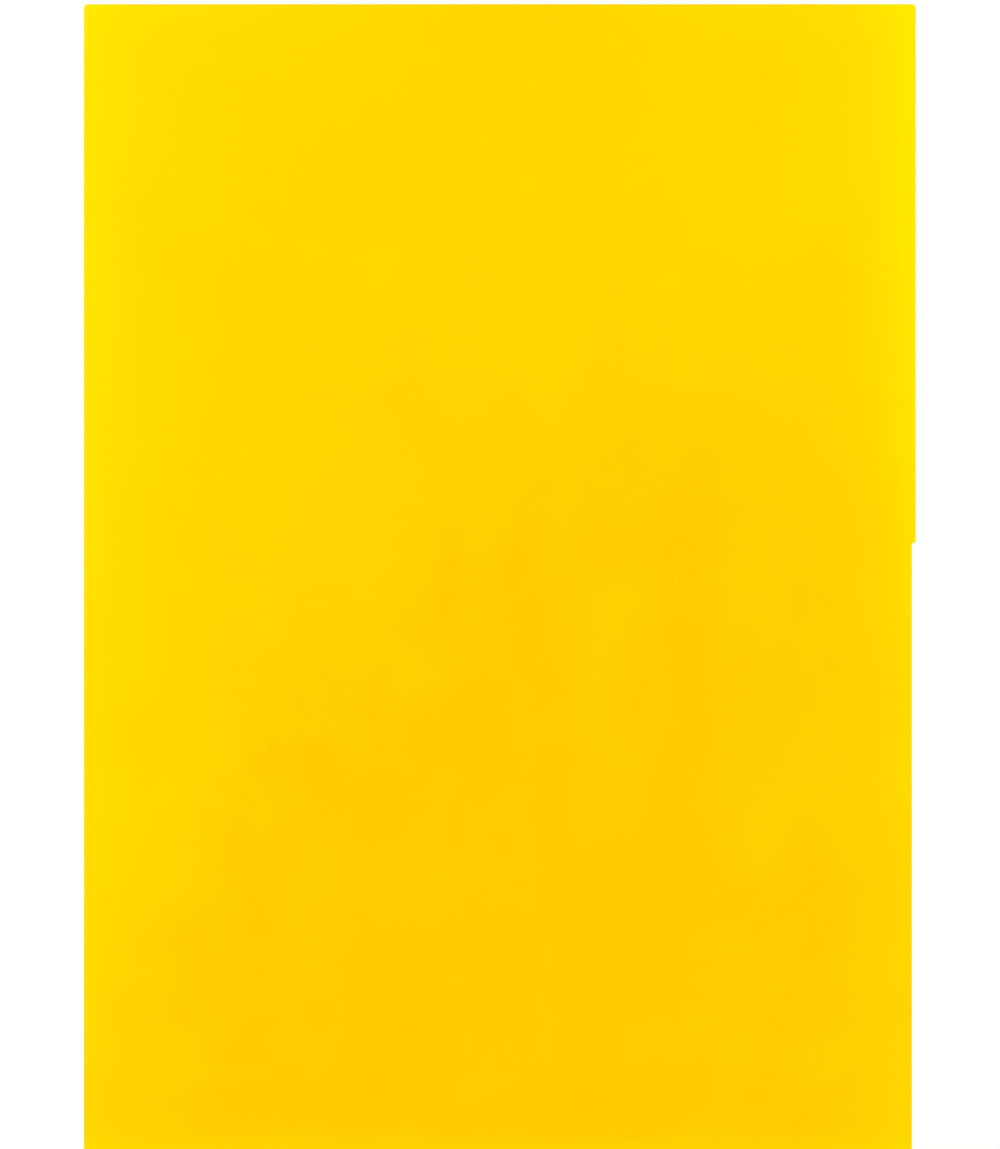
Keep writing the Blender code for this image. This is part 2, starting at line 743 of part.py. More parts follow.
def add_curtain():
    film = finished("film", curtain_film(), film_yellow)
    place("curtain_film", film, (0, FILM_BACK - FILM / 2, CURTAIN_CLEARANCE))
    from_elbow, from_tube = ELBOW_LEG + POCKET_END, TUBE_RADIUS + POCKET_END
    top = finished("top_pocket", rail_pocket(2 * (UPRIGHT_X - from_elbow)), film_yellow)
    bottom = finished("bottom_pocket", rail_pocket(2 * (UPRIGHT_X - from_tube)), film_yellow)
    place("top_pocket", top, (0, 0, TOP_RAIL_Z))
    place("bottom_pocket", bottom, (0, 0, BOTTOM_RAIL_Z))
    spans = {
        "lower": (BOTTOM_RAIL_Z + from_tube, JOINT_Z - POCKET_END),
        "upper": (JOINT_Z + BUTTON_RISE + POCKET_END, TOP_RAIL_Z - from_elbow),
    }
    for level, (low, high) in spans.items():
        mesh = finished(f"{level}_pocket", upright_pocket(high - low), film_yellow)
        for name, side in SIDES.items():
            place(f"{name}_{level}_pocket", mesh, (side * UPRIGHT_X, 0, (low + high) / 2))


def add_rails():
    place("top_rail", finished("top_rail", top_rail(), frame_paint), (0, 0, TOP_RAIL_Z))
    place("bottom_rail", finished("bottom_rail", bottom_rail(), frame_paint), (0, 0, BOTTOM_RAIL_Z))
    plug = finished("rail_plug", rail_plug(), zinc)
    bolt = finished("rail_bolt", rail_bolt(), zinc)
    for name, side in SIDES.items():
        plug_face = side * (UPRIGHT_X - TUBE_RADIUS - GAP)
        bolt_seat = side * (UPRIGHT_X + TUBE_RADIUS + GAP)
        inward = Matrix.Rotation(math.pi if side > 0 else 0, 4, "Z")
        place(f"{name}_rail_plug", plug, (plug_face, 0, BOTTOM_RAIL_Z), inward)
        place(f"{name}_rail_bolt", bolt, (bolt_seat, 0, BOTTOM_RAIL_Z), facing((side, 0, 0)))


def add_uprights():
    pieces = [
        finished("upper_upright", upper_upright(), frame_paint),
        finished("lower_upright", lower_upright(), frame_paint),
        finished("joint_sleeve", joint_sleeve(), zinc),
        finished("button_spring", button_spring(), spring_steel),
    ]
    button = finished("snap_button", snap_button(), zinc)
    for name, side in SIDES.items():
        for mesh in pieces:
            place(f"{name}_{mesh.name}", mesh, (side * UPRIGHT_X, 0, JOINT_Z))
        button_place = (side * UPRIGHT_X, 0, JOINT_Z + BUTTON_RISE)
        place(f"{name}_snap_button", button, button_place, facing((0, 1, 0)))


def add_corners():
    screw = finished("fixing_screw", fixing_screw(), zinc)
    hole = ELBOW_LEG + GAP + SCREW_INSET
    seat_y = TUBE_RADIUS + GAP
    for name, side in SIDES.items():
        x = side * UPRIGHT_X
        elbow = finished(f"{name}_corner_elbow", corner_elbow(side), black_nylon)
        place(f"{name}_corner_elbow", elbow, (x, 0, TOP_RAIL_Z))
        seats = {
            "rail_screw": (x - side * hole, seat_y, TOP_RAIL_Z),
            "upright_screw": (x, seat_y, TOP_RAIL_Z - hole),
        }
        for screw_name, seat in seats.items():
            place(f"{name}_{screw_name}", screw, seat, facing((0, 1, 0)))


def add_feet():
    base = finished("foot", foot(), frame_paint)
    knob = finished("clamp_knob", clamp_knob(), black_nylon)
    cap = finished("foot_cap", foot_cap(), black_nylon)
    for name, side in SIDES.items():
        x = side * UPRIGHT_X
        place(f"{name}_foot", base, (x, 0, 0))
        place(f"{name}_clamp_knob", knob, (x, 0, KNOB_Z), facing((0, 1, 0)))
        for end_name, end in ENDS.items():
            seat = (x, end * FOOT_LENGTH / 2, FOOT_Z + FOOT_SECTION / 2)
            outward = Matrix.Rotation(0 if end > 0 else math.pi, 4, "Z")
            place(f"{name}_{end_name}_foot_cap", cap, seat, outward)


def add_castors():
    """Four castors that trail inwards. The two in front have brakes."""
    pieces = {
        "castor_stem": (finished("castor_stem", castor_stem(), zinc), (0, 0, 0)),
        "castor_nut": (finished("castor_nut", castor_nut(), zinc), (0, 0, 0)),
        "castor_wheel": (finished("castor_wheel", castor_wheel(), grey_rubber), AXLE_PLACE),
        "castor_axle": (finished("castor_axle", castor_axle(), zinc), AXLE_PLACE),
    }
    forks = {
        "front": finished("braked_fork", castor_fork(braked=True), zinc),
        "rear": finished("plain_fork", castor_fork(braked=False), zinc),
    }
    pedal = finished("brake_pedal", brake_pedal(), black_nylon)
    for end_name, end in ENDS.items():
        for side_name, side in SIDES.items():
            corner = f"{side_name}_{end_name}"
            swivel = bpy.data.objects.new(f"{corner}_swivel", None)
            swivel.location = (side * UPRIGHT_X, end * CASTOR_Y, 0)
            swivel.rotation_euler.z = math.pi if side > 0 else 0
            screen.objects.link(swivel)
            place(f"{corner}_castor_fork", forks[end_name], parent=swivel)
            for piece, (mesh, location) in pieces.items():
                place(f"{corner}_{piece}", mesh, location, parent=swivel)
            if end_name == "front":
                place(f"{corner}_brake_pedal", pedal, PEDAL_PLACE, parent=swivel)


clear_scene()
screen = new_collection("welding_curtain_screen")
film_yellow = new_material("film_yellow", (1.0, 0.64, 0.0), 0.35)
frame_paint = new_material("frame_paint", (0.80, 0.80, 0.77), 0.45)
black_nylon = new_material("black_nylon", (0.02, 0.02, 0.022), 0.5)
zinc = new_material("zinc", (0.62, 0.64, 0.66), 0.35, 1.0)
spring_steel = new_material("spring_steel", (0.35, 0.36, 0.38), 0.3, 1.0)
grey_rubber = new_material("grey_rubber", (0.16, 0.16, 0.165), 0.75)
add_curtain()
add_rails()
add_uprights()
add_corners()
add_feet()
add_castors()
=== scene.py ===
# %% [markdown]
# # A welding curtain screen
# A welding curtain is one sheet of tinted PVC film that keeps arc light and sparks inside a bay.
# On a free-standing screen the film is carried from behind: strips welded to its back make
# pockets, and a light tube frame on castors runs through them. From the front only the plain
# film shows, so its colour has to do all the work there. From behind, the frame does.
# The CAD model is the fixed frame of this file: it says where everything is, and this file
# gives each piece its real surface.

# %% Load the frame
import math

import bmesh
import bpy
from mathutils import Matrix, Vector, noise


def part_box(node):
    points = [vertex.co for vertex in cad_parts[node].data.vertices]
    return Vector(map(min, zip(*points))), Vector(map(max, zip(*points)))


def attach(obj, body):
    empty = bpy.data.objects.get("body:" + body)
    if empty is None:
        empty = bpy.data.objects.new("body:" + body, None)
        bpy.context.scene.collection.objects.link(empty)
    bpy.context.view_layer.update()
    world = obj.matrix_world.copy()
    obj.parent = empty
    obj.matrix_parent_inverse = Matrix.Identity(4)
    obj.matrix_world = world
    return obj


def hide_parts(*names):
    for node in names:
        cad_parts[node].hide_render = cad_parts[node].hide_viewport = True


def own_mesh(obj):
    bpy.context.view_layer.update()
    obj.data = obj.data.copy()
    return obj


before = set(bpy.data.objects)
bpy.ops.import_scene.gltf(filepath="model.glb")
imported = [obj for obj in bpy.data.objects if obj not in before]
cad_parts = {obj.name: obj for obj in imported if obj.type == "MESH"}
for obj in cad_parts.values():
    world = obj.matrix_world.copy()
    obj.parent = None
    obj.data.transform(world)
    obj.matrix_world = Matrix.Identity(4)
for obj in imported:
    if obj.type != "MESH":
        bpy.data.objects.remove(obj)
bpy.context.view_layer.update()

# %% [markdown]
# ## Sizes, all read from the frame
# Nothing here is typed twice: the film, the tubes and the castors are measured off their CAD
# nodes, so the pieces below fit them whatever their size is. Only what a node's box can't tell,
# such as how wide a weld is, is a value of its own.

# %% Measures and names
GAP = 0.0003  # between pieces that touch
SIDES = {"left": -1, "right": 1}
ENDS = {"front": -1, "rear": 1}


def middle(node):
    low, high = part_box(node)
    return (low + high) / 2


def extent(node):
    low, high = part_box(node)
    return high - low


film_low, film_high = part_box("curtain_film")
FILM = film_high.y - film_low.y
HALF_WIDTH = film_high.x
TUBE = extent("left_lower_upright").x / 2
UPRIGHT_X = middle("right_lower_upright").x
TOP_RAIL_Z = middle("top_rail").z
BOTTOM_RAIL_Z = middle("bottom_rail").z
JOINT_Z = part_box("left_lower_upright")[1].z + GAP / 2
EDGE_STEP = 0.006  # the step in the film's right edge
CORNER_RADIUS = 0.006
FILM_BACK = film_high.y
print(f"film {2 * HALF_WIDTH:.3f} x {film_high.z - film_low.z:.3f} m, tube {2000 * TUBE:.1f} mm")

# %% [markdown]
# ## Camera and studio
# The film is seen square on, with no perspective in its outline, so the camera stands far away
# at the height of the film's middle with a long lens. The studio is a pale floor and a white
# surround. The surround looks white to the camera but lights the scene only softly, and sun
# lamps with a wide angle add direction. Suns don't fall off with distance, so one sheet of
# 1.3 by 1.8 m is lit evenly from corner to corner, as in a packshot.

# %% Camera
LENS = 200
SENSOR = 36
FRAME_HEIGHT = 1.7955  # what the picture's height covers at the film
LOOK_AT = Vector((0.0003, film_low.y, film_high.z + 0.0064 - FRAME_HEIGHT / 2))

camera = bpy.data.objects.new("camera", bpy.data.cameras.new("camera"))
camera.data.lens = LENS
camera.data.sensor_width = SENSOR
camera.location = LOOK_AT - Vector((0, FRAME_HEIGHT * LENS / SENSOR, 0))
camera.rotation_euler = (math.radians(90), 0, 0)
bpy.context.scene.collection.objects.link(camera)
bpy.context.scene.camera = camera
bpy.context.scene.view_settings.view_transform = "Standard"
print("camera", tuple(round(value, 3) for value in camera.location))


# %% Surround, suns and floor
def sun(name, strength, angle, direction):
    """A lamp that shines along a direction, with soft shadows from its wide angle in degrees."""
    lamp = bpy.data.objects.new(name, bpy.data.lights.new(name, "SUN"))
    lamp.data.energy = strength
    lamp.data.angle = math.radians(angle)
    lamp.rotation_euler = Vector(direction).to_track_quat("-Z", "Y").to_euler()
    bpy.context.scene.collection.objects.link(lamp)


def white_surround(seen, lighting):
    """A world that the camera sees at one strength and that lights the scene at another."""
    world = bpy.data.worlds.new("surround")
    world.use_nodes = True
    nodes, links = world.node_tree.nodes, world.node_tree.links
    nodes.clear()
    path = nodes.new("ShaderNodeLightPath")
    shown, lit = nodes.new("ShaderNodeBackground"), nodes.new("ShaderNodeBackground")
    shown.inputs["Strength"].default_value = seen
    lit.inputs["Strength"].default_value = lighting
    for background in (shown, lit):
        background.inputs["Color"].default_value = (1, 1, 1, 1)
    mix, out = nodes.new("ShaderNodeMixShader"), nodes.new("ShaderNodeOutputWorld")
    links.new(path.outputs["Is Camera Ray"], mix.inputs["Fac"])
    links.new(lit.outputs[0], mix.inputs[1])
    links.new(shown.outputs[0], mix.inputs[2])
    links.new(mix.outputs[0], out.inputs[0])
    bpy.context.scene.world = world


white_surround(seen=1.05, lighting=0.47)
sun("front_left", 0.735, 50, (0.55, 1, -0.62))
sun("front_right", 0.42, 70, (-0.8, 1, -0.45))
sun("behind", 1.15, 45, (-0.45, -1, -0.75))
sun("overhead", 0.9, 60, (0, 0.1, -1))

floor_mesh = bpy.data.meshes.new("floor")
floor_shape = bmesh.new()
bmesh.ops.create_grid(floor_shape, x_segments=1, y_segments=1, size=40)
floor_shape.to_mesh(floor_mesh)
floor_shape.free()
floor = bpy.data.objects.new("floor", floor_mesh)
bpy.context.scene.collection.objects.link(floor)
floor.location.z = -0.0005


print("lights", [lamp.name for lamp in bpy.data.lights])

# %% [markdown]
# ## Shared effects
# Effects that turn up in more than one finish are node groups with named inputs, built once.
# *Grain* is a fine height for a bump: the spark texture of moulded nylon, the orange peel of
# powder coat, the faint press marks of film. *Cloudiness* is a slow mask of where a surface was
# wiped, handled or thinly coated. *Edge wear* compares the surface with a rounded version of
# itself, which differs only at corners, and breaks the result up with noise. *Dust* settles in
# drifts on what faces up. *Flow lines* are the long faint streaks that the rollers leave in
# film. The groups give only masks and heights, and each material does its own shading.


# %% Shader helpers
class Shader:
    """A short way to write a node tree: make a node, set its sockets, link what isn't a value."""

    def __init__(self, tree):
        self.tree = tree

    def node(self, kind, settings=None, **sockets):
        made = self.tree.nodes.new(kind)
        for name, value in (settings or {}).items():
            setattr(made, name, value)
        for name, value in sockets.items():
            self.plug(made.inputs[name.replace("_", " ")], value)
        return made

    def plug(self, socket, value):
        if isinstance(value, bpy.types.NodeSocket):
            self.tree.links.new(value, socket)
        else:
            socket.default_value = value

    def math(self, operation, first, second=0.0, clamp=False):
        made = self.tree.nodes.new("ShaderNodeMath")
        made.operation, made.use_clamp = operation, clamp
        self.plug(made.inputs[0], first)
        self.plug(made.inputs[1], second)
        return made.outputs[0]

    def ramp(self, value, low, high, to_low=0.0, to_high=1.0):
        """A smooth step of a value between two limits."""
        made = self.tree.nodes.new("ShaderNodeMapRange")
        made.interpolation_type = "SMOOTHSTEP"
        for place, number in enumerate((value, low, high, to_low, to_high)):
            self.plug(made.inputs[place], number)
        return made.outputs[0]

    def mix(self, share, first, second):
        made = self.tree.nodes.new("ShaderNodeMix")
        made.data_type = "RGBA"
        self.plug(made.inputs["Factor"], share)
        self.plug(made.inputs[6], first)
        self.plug(made.inputs[7], second)
        return made.outputs[2]


def effect_group(name, inputs, outputs):
    """A node group with these named float or vector inputs, and its helper and two end nodes."""
    tree = bpy.data.node_groups.new(name, "ShaderNodeTree")
    for label, value in inputs.items():
        kind = "NodeSocketVector" if value is None else "NodeSocketFloat"
        socket = tree.interface.new_socket(label, in_out="INPUT", socket_type=kind)
        if value is not None:
            socket.default_value = value
    for label, kind in outputs.items():
        tree.interface.new_socket(label, in_out="OUTPUT", socket_type=kind)
    return Shader(tree), tree.nodes.new("NodeGroupInput").outputs, tree.nodes.new("NodeGroupOutput")


print("helpers", Shader.__name__, effect_group.__name__)

# %% Grain, cloudiness and edge wear
def build_grain():
    s, given, out = effect_group("grain", {"Vector": None, "Scale": 900.0},
        {"Height": "NodeSocketFloat"})
    fine = s.node("ShaderNodeTexNoise", Vector=given["Vector"], Scale=given["Scale"], Detail=3.0)
    broad = s.node("ShaderNodeTexNoise", Vector=given["Vector"], Detail=1.0)
    s.plug(broad.inputs["Scale"], s.math("MULTIPLY", given["Scale"], 0.23))
    both = s.math("ADD", s.math("MULTIPLY", fine.outputs[0], 0.6),
        s.math("MULTIPLY", broad.outputs[0], 0.4))
    s.plug(out.inputs["Height"], both)
    return s.tree


def build_cloudiness():
    inputs = {"Vector": None, "Scale": 6.0, "Low": 0.42, "High": 0.62}
    s, given, out = effect_group("cloudiness", inputs, {"Mask": "NodeSocketFloat"})
    cloud = s.node("ShaderNodeTexNoise", Vector=given["Vector"], Scale=given["Scale"], Detail=4.0)
    s.plug(out.inputs["Mask"], s.ramp(cloud.outputs[0], given["Low"], given["High"]))
    return s.tree


def build_edge_wear():
    inputs = {"Vector": None, "Scale": 120.0, "Amount": 0.5, "Width": 0.0007}
    s, given, out = effect_group("edge_wear", inputs, {"Mask": "NodeSocketFloat"})
    rounded = s.node("ShaderNodeBevel", {"samples": 4}, Radius=given["Width"])
    flat = s.node("ShaderNodeNewGeometry").outputs["Normal"]
    same = s.node("ShaderNodeVectorMath", {"operation": "DOT_PRODUCT"})
    s.plug(same.inputs[0], rounded.outputs[0])
    s.plug(same.inputs[1], flat)
    corner = s.ramp(same.outputs["Value"], 0.985, 0.86)
    chips = s.node("ShaderNodeTexNoise", Vector=given["Vector"], Scale=given["Scale"], Detail=4.0)
    broken = s.ramp(chips.outputs[0], 0.5, 0.62)
    mask = s.math("MULTIPLY", s.math("MULTIPLY", corner, broken), given["Amount"])
    s.plug(out.inputs["Mask"], mask)
    return s.tree


def build_dust():
    inputs = {"Vector": None, "Scale": 35.0, "Amount": 0.5}
    s, given, out = effect_group("dust", inputs, {"Mask": "NodeSocketFloat"})
    up = s.node("ShaderNodeSeparateXYZ", Vector=s.node("ShaderNodeNewGeometry").outputs["Normal"])
    level = s.ramp(up.outputs["Z"], 0.35, 0.95)
    drifts = s.node("ShaderNodeTexNoise", Vector=given["Vector"], Scale=given["Scale"], Detail=5.0)
    settled = s.ramp(drifts.outputs[0], 0.36, 0.66)
    mask = s.math("MULTIPLY", s.math("MULTIPLY", level, settled), given["Amount"])
    s.plug(out.inputs["Mask"], mask)
    return s.tree


def build_flow_lines():
    inputs = {"Vector": None, "Fineness": 170.0}
    s, given, out = effect_group("flow_lines", inputs, {"Height": "NodeSocketFloat"})
    stretch = s.node("ShaderNodeMapping", Vector=given["Vector"], Scale=(1.0, 1.0, 0.012))
    lines = s.node("ShaderNodeTexNoise", Vector=stretch.outputs[0], Scale=given["Fineness"],
        Detail=2.0)
    s.plug(out.inputs["Height"], lines.outputs[0])
    return s.tree


grain, cloudiness, edge_wear = build_grain(), build_cloudiness(), build_edge_wear()
dust, flow_lines = build_dust(), build_flow_lines()
print("effect groups", [group.name for group in bpy.data.node_groups])

# %% [markdown]
# ## The film's colour, with painted glow and shade
# Yellow PVC passes red and green and stops blue, so its blue is nothing at all and its red is
# full. Only green varies, and that is what gives the sheet its life. Part of it is painted light:
# a painted glow makes the sheet paler and greener towards the cut edges, where light leaks in
# through them, and painted shade leaves it a little lighter at the top and deeper, more orange,
# below a soft slanting line. A plain gradient would look printed, so the tone is built from a
# few smooth steps across the sheet plus a slow noise, the film's own uneven tone. The gloss has
# a yellow tint, because light that enters the film's skin comes back yellow too.


# %% Film tint group, with painted glow and painted shade
def build_film_colour_and_painted_light():
    s, given, out = effect_group("film_tint_and_painted_light", {"Vector": None}, {"Color": "NodeSocketColor"})
    place = s.node("ShaderNodeSeparateXYZ", Vector=given["Vector"])
    x, z = place.outputs["X"], place.outputs["Z"]
    haze = s.node("ShaderNodeTexNoise", Vector=given["Vector"], Scale=2.6, Detail=3.0,
        Roughness=0.6)
    wander = s.math("MULTIPLY", s.math("SUBTRACT", haze.outputs[0], 0.5), 0.24)
    patches = s.node("ShaderNodeTexNoise", Vector=given["Vector"], Scale=9.0, Detail=5.0,
        Roughness=0.62)
    mottle = s.math("MULTIPLY", s.math("SUBTRACT", patches.outputs[0], 0.5), 0.36)
    clouds = s.node("ShaderNodeTexNoise", Vector=given["Vector"], Scale=4.3, Detail=4.0,
        Roughness=0.55)
    drift = s.math("MULTIPLY", s.math("SUBTRACT", clouds.outputs[0], 0.5), 1.15)
    # across the slanting line, which runs from the upper right down to the left; painted shade
    # deepens below it
    across = s.math("ADD", s.math("MULTIPLY", x, 0.773), s.math("MULTIPLY", z, -0.635))
    across = s.math("ADD", s.math("ADD", across, 0.79), s.math("ADD", wander, mottle))
    # painted shade: the colour deepens below the slanting line and towards the bottom, leaving the
    # top a little lighter; wander, mottle and drift are the film's own random tone
    shade_below_line = s.math("MULTIPLY", s.ramp(across, -0.11, 0.09), s.ramp(z, 1.52, 1.12))
    depth = s.math("MULTIPLY", s.ramp(z, 1.90, 1.15), 0.36)
    depth = s.math("ADD", depth, s.math("MULTIPLY", shade_below_line, 0.48))
    depth = s.math("ADD", depth, s.math("MULTIPLY", wander, 0.9))
    depth = s.math("ADD", depth, s.math("ADD", mottle, drift), clamp=True)
    body = s.mix(depth, (1.0, PALE_LIT_GREEN, 0.0, 1), (1.0, DEEP_SHADED_GREEN, 0.0, 1))

    def leak(distance, reach, strength):
        """Painted light: a glow from light that enters at an edge and fades within a reach."""
        share = s.math("EXPONENT", s.math("DIVIDE", distance, -reach))
        return s.math("MULTIPLY", share, strength)

    # painted glow: the colour is lifted paler and greener near the cut edges, as if lit through
    # them
    from_left = s.math("ADD", x, HALF_WIDTH)
    from_right = s.math("SUBTRACT", HALF_WIDTH, x)
    from_top = s.math("SUBTRACT", film_high.z, z)
    from_bottom = s.math("SUBTRACT", z, film_low.z)
    on_left = s.math("ADD", leak(from_left, 0.045, 0.32), leak(from_left, 0.24, 0.42))
    on_left = s.math("MULTIPLY", on_left, s.ramp(z, 0.3, 1.9, 0.62, 1.16))
    on_right = s.math("ADD", leak(from_right, 0.050, 0.72), leak(from_right, 0.25, 0.22))
    on_right = s.math("MULTIPLY", on_right, s.ramp(z, 0.3, 1.9, 0.36, 1.14))
    painted_glow = s.math("ADD", on_left, on_right)
    at_top = s.ramp(s.math("ABSOLUTE", x), 0.05, 0.5, 0.05, 0.25)  # stronger towards the corners
    for each in (leak(from_top, 0.05, at_top), leak(from_bottom, 0.018, 0.55)):
        painted_glow = s.math("ADD", painted_glow, each)
    glow_lifted = s.mix(s.math("MINIMUM", painted_glow, 1.0), body, (1.0, EDGE_GLOW_GREEN, 0.0, 1))
    s.plug(out.inputs["Color"], glow_lifted)
    return s.tree


# The greens are in linear light. The pale green is the film lit by painted light at its top. The
# deep green is painted shade in its lower part and also the film's deeper random patches.
PALE_LIT_GREEN = 0.650  # the green of the sheet's upper part, in linear light
DEEP_SHADED_GREEN = 0.561
# the green of the painted glow at the cut edges
EDGE_GLOW_GREEN = 0.795
film_tint_and_painted_light = build_film_colour_and_painted_light()


print("film tint nodes", len(film_tint_and_painted_light.nodes))

# %% [markdown]
# ## Finishes
# One small function makes each finish from the shared effects. Colours and roughness vary over
# the surface through the groups, and what is the same everywhere is set on the shader itself.


# %% Finishes
def finish(name, metallic=0.0, **constants):
    """A new material, its helper, its shader and its object coordinates."""
    material = bpy.data.materials.new(name)
    material.use_nodes = True
    s = Shader(material.node_tree)
    shader = material.node_tree.nodes["Principled BSDF"]
    shader.inputs["Metallic"].default_value = metallic
    for label, value in constants.items():
        shader.inputs[label.replace("_", " ")].default_value = value
    where = s.node("ShaderNodeTexCoord").outputs["Object"]
    return material, s, shader, where


def effect(s, group, where, **sockets):
    return s.node("ShaderNodeGroup", {"node_tree": group}, Vector=where, **sockets).outputs[0]


def bump(s, shader, height, strength, distance):
    made = s.node("ShaderNodeBump", Strength=strength, Distance=distance, Height=height)
    s.plug(shader.inputs["Normal"], made.outputs[0])


# %% Film finish
def film_finish():
    tint = {"Specular_IOR_Level": 0.5, "Specular_Tint": (1.0, 0.72, 0.0, 1.0), "IOR": 1.5}
    material, s, shader, where = finish("yellow_film", **tint)
    # the base colour holds painted glow at the edges and painted shade in the lower part
    s.plug(shader.inputs["Base Color"], effect(s, film_tint_and_painted_light, where))
    wiped = effect(s, cloudiness, where, Scale=3.2, Low=0.15, High=0.85)
    lines = effect(s, flow_lines, where)
    gloss = s.math("ADD", s.math("MULTIPLY", wiped, 0.75), s.math("MULTIPLY", lines, 0.25))
    s.plug(shader.inputs["Roughness"], s.ramp(gloss, 0.1, 0.9, 0.24, 0.38))
    relief = s.math("ADD", effect(s, grain, where, Scale=260.0), s.math("MULTIPLY", lines, 0.3))
    bump(s, shader, relief, 0.08, 0.0004)
    return material


film_yellow = film_finish()
print("finish", film_yellow.name)


# %% Powder coat
def powder_coat():
    material, s, shader, where = finish("light_grey_powder_coat", Coat_Weight=0.15,
        Coat_Roughness=0.25)
    patchy = effect(s, cloudiness, where, Scale=14.0)
    colour = s.mix(patchy, (0.70, 0.71, 0.70, 1), (0.64, 0.65, 0.645, 1))
    wear = effect(s, edge_wear, where, Scale=160.0, Amount=1.0, Width=0.0011)
    dirt = effect(s, dust, where, Scale=45.0, Amount=0.28)
    colour = s.mix(dirt, colour, (0.47, 0.45, 0.41, 1))
    s.plug(shader.inputs["Base Color"], s.mix(wear, colour, (0.26, 0.26, 0.27, 1)))
    s.plug(shader.inputs["Metallic"], wear)
    s.plug(shader.inputs["Roughness"],
        s.math("ADD", s.ramp(patchy, 0, 1, 0.34, 0.46), s.math("MULTIPLY", dirt, 0.4)))
    bump(s, shader, effect(s, grain, where, Scale=380.0), 0.55, 0.0008)
    return material


grey_paint = powder_coat()
print("finish", grey_paint.name)


# %% Zinc plate
def zinc_plate():
    material, s, shader, where = finish("bright_zinc", metallic=1.0)
    cloud = effect(s, cloudiness, where, Scale=55.0, Low=0.35, High=0.7)
    colour = s.mix(cloud, (0.66, 0.68, 0.70, 1), (0.54, 0.56, 0.57, 1))
    s.plug(shader.inputs["Base Color"], colour)
    s.plug(shader.inputs["Roughness"], s.ramp(cloud, 0, 1, 0.24, 0.40))
    bump(s, shader, effect(s, grain, where, Scale=1500.0), 0.12, 0.0002)
    return material


zinc = zinc_plate()
print("finish", zinc.name)


# %% Spring steel
def dark_steel():
    material, s, shader, where = finish("blued_spring_steel", metallic=1.0)
    cloud = effect(s, cloudiness, where, Scale=90.0)
    s.plug(shader.inputs["Base Color"], s.mix(cloud, (0.16, 0.17, 0.20, 1), (0.24, 0.23, 0.24, 1)))
    s.plug(shader.inputs["Roughness"], s.ramp(cloud, 0, 1, 0.25, 0.40))
    bump(s, shader, effect(s, grain, where, Scale=2200.0), 0.1, 0.0002)
    return material


spring_blue = dark_steel()
print("finish", spring_blue.name)


# %% Black nylon
def black_nylon():
    material, s, shader, where = finish("black_nylon")
    cloud = effect(s, cloudiness, where, Scale=30.0)
    colour = s.mix(cloud, (0.020, 0.020, 0.022, 1), (0.032, 0.032, 0.034, 1))
    wear = effect(s, edge_wear, where, Scale=220.0, Amount=0.8, Width=0.0008)
    colour = s.mix(effect(s, dust, where, Scale=80.0, Amount=0.35), colour, (0.16, 0.155, 0.145, 1))
    s.plug(shader.inputs["Base Color"], s.mix(wear, colour, (0.11, 0.11, 0.115, 1)))
    s.plug(shader.inputs["Roughness"], s.ramp(cloud, 0, 1, 0.42, 0.56))
    bump(s, shader, effect(s, grain, where, Scale=2600.0), 0.35, 0.0002)
    return material


nylon = black_nylon()
print("finish", nylon.name)


# %% Grey tread
def grey_tread():
    material, s, shader, where = finish("grey_rubber_tread")
    scuffed = effect(s, cloudiness, where, Scale=70.0, Low=0.4, High=0.75)
    s.plug(shader.inputs["Base Color"],
        s.mix(scuffed, (0.135, 0.135, 0.14, 1), (0.22, 0.215, 0.205, 1)))
    s.plug(shader.inputs["Roughness"], s.ramp(scuffed, 0, 1, 0.62, 0.85))
    bump(s, shader, effect(s, grain, where, Scale=1800.0), 0.3, 0.0003)
    return material


tread = grey_tread()
print("finish", tread.name)


# %% Studio floor
def studio_floor():
    material, s, shader, where = finish("studio_floor")
    patchy = effect(s, cloudiness, where, Scale=1.5)
    s.plug(shader.inputs["Base Color"],
        s.mix(patchy, (0.93, 0.93, 0.93, 1), (0.92, 0.92, 0.915, 1)))
    shader.inputs["Roughness"].default_value = 0.9
    shader.inputs["Specular IOR Level"].default_value = 0.1
    return material


floor.data.materials.append(studio_floor())
print("finishes", len(bpy.data.materials))


# %% [markdown]
# ## Helpers for pieces
# A finished piece sits at the origin with its place in its mesh, rides on a body and stands for
# its CAD nodes. One function does all of that, so no step is forgotten.


# %% Putting a piece on its body
def working(mesh, name="shape"):
    obj = bpy.data.objects.new(name, mesh)
    bpy.context.scene.collection.objects.link(obj)
    return obj


def plain_mesh(obj):
    """The object's evaluated mesh as a new one in the row frame. The object is removed."""
    bpy.context.view_layer.update()
    graph = bpy.context.evaluated_depsgraph_get()
    mesh = bpy.data.meshes.new_from_object(obj.evaluated_get(graph))
    mesh.transform(obj.matrix_world)
    bpy.data.objects.remove(obj)
    return mesh


def settle(name, mesh, material, body, slot, nodes=(), smooth=30):
    """Names a mesh, shades it, paints it, and lets it ride on a body in place of its CAD nodes."""
    mesh.name = name
    mesh.shade_smooth()
    mesh.set_sharp_from_angle(angle=math.radians(smooth))
    if material:
        mesh.materials.clear()
        mesh.materials.append(material)
    piece = working(mesh, name)
    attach(piece, body)
    if nodes:
        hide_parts(*nodes)
    return piece


def tidied(mesh, weld=1e-6):
    """The mesh with its doubles merged and its faces pointing outwards."""
    shape = bmesh.new()
    shape.from_mesh(mesh)
    bmesh.ops.remove_doubles(shape, verts=shape.verts, dist=weld)
    bmesh.ops.recalc_face_normals(shape, faces=shape.faces)
    shape.to_mesh(mesh)
    shape.free()
    return mesh


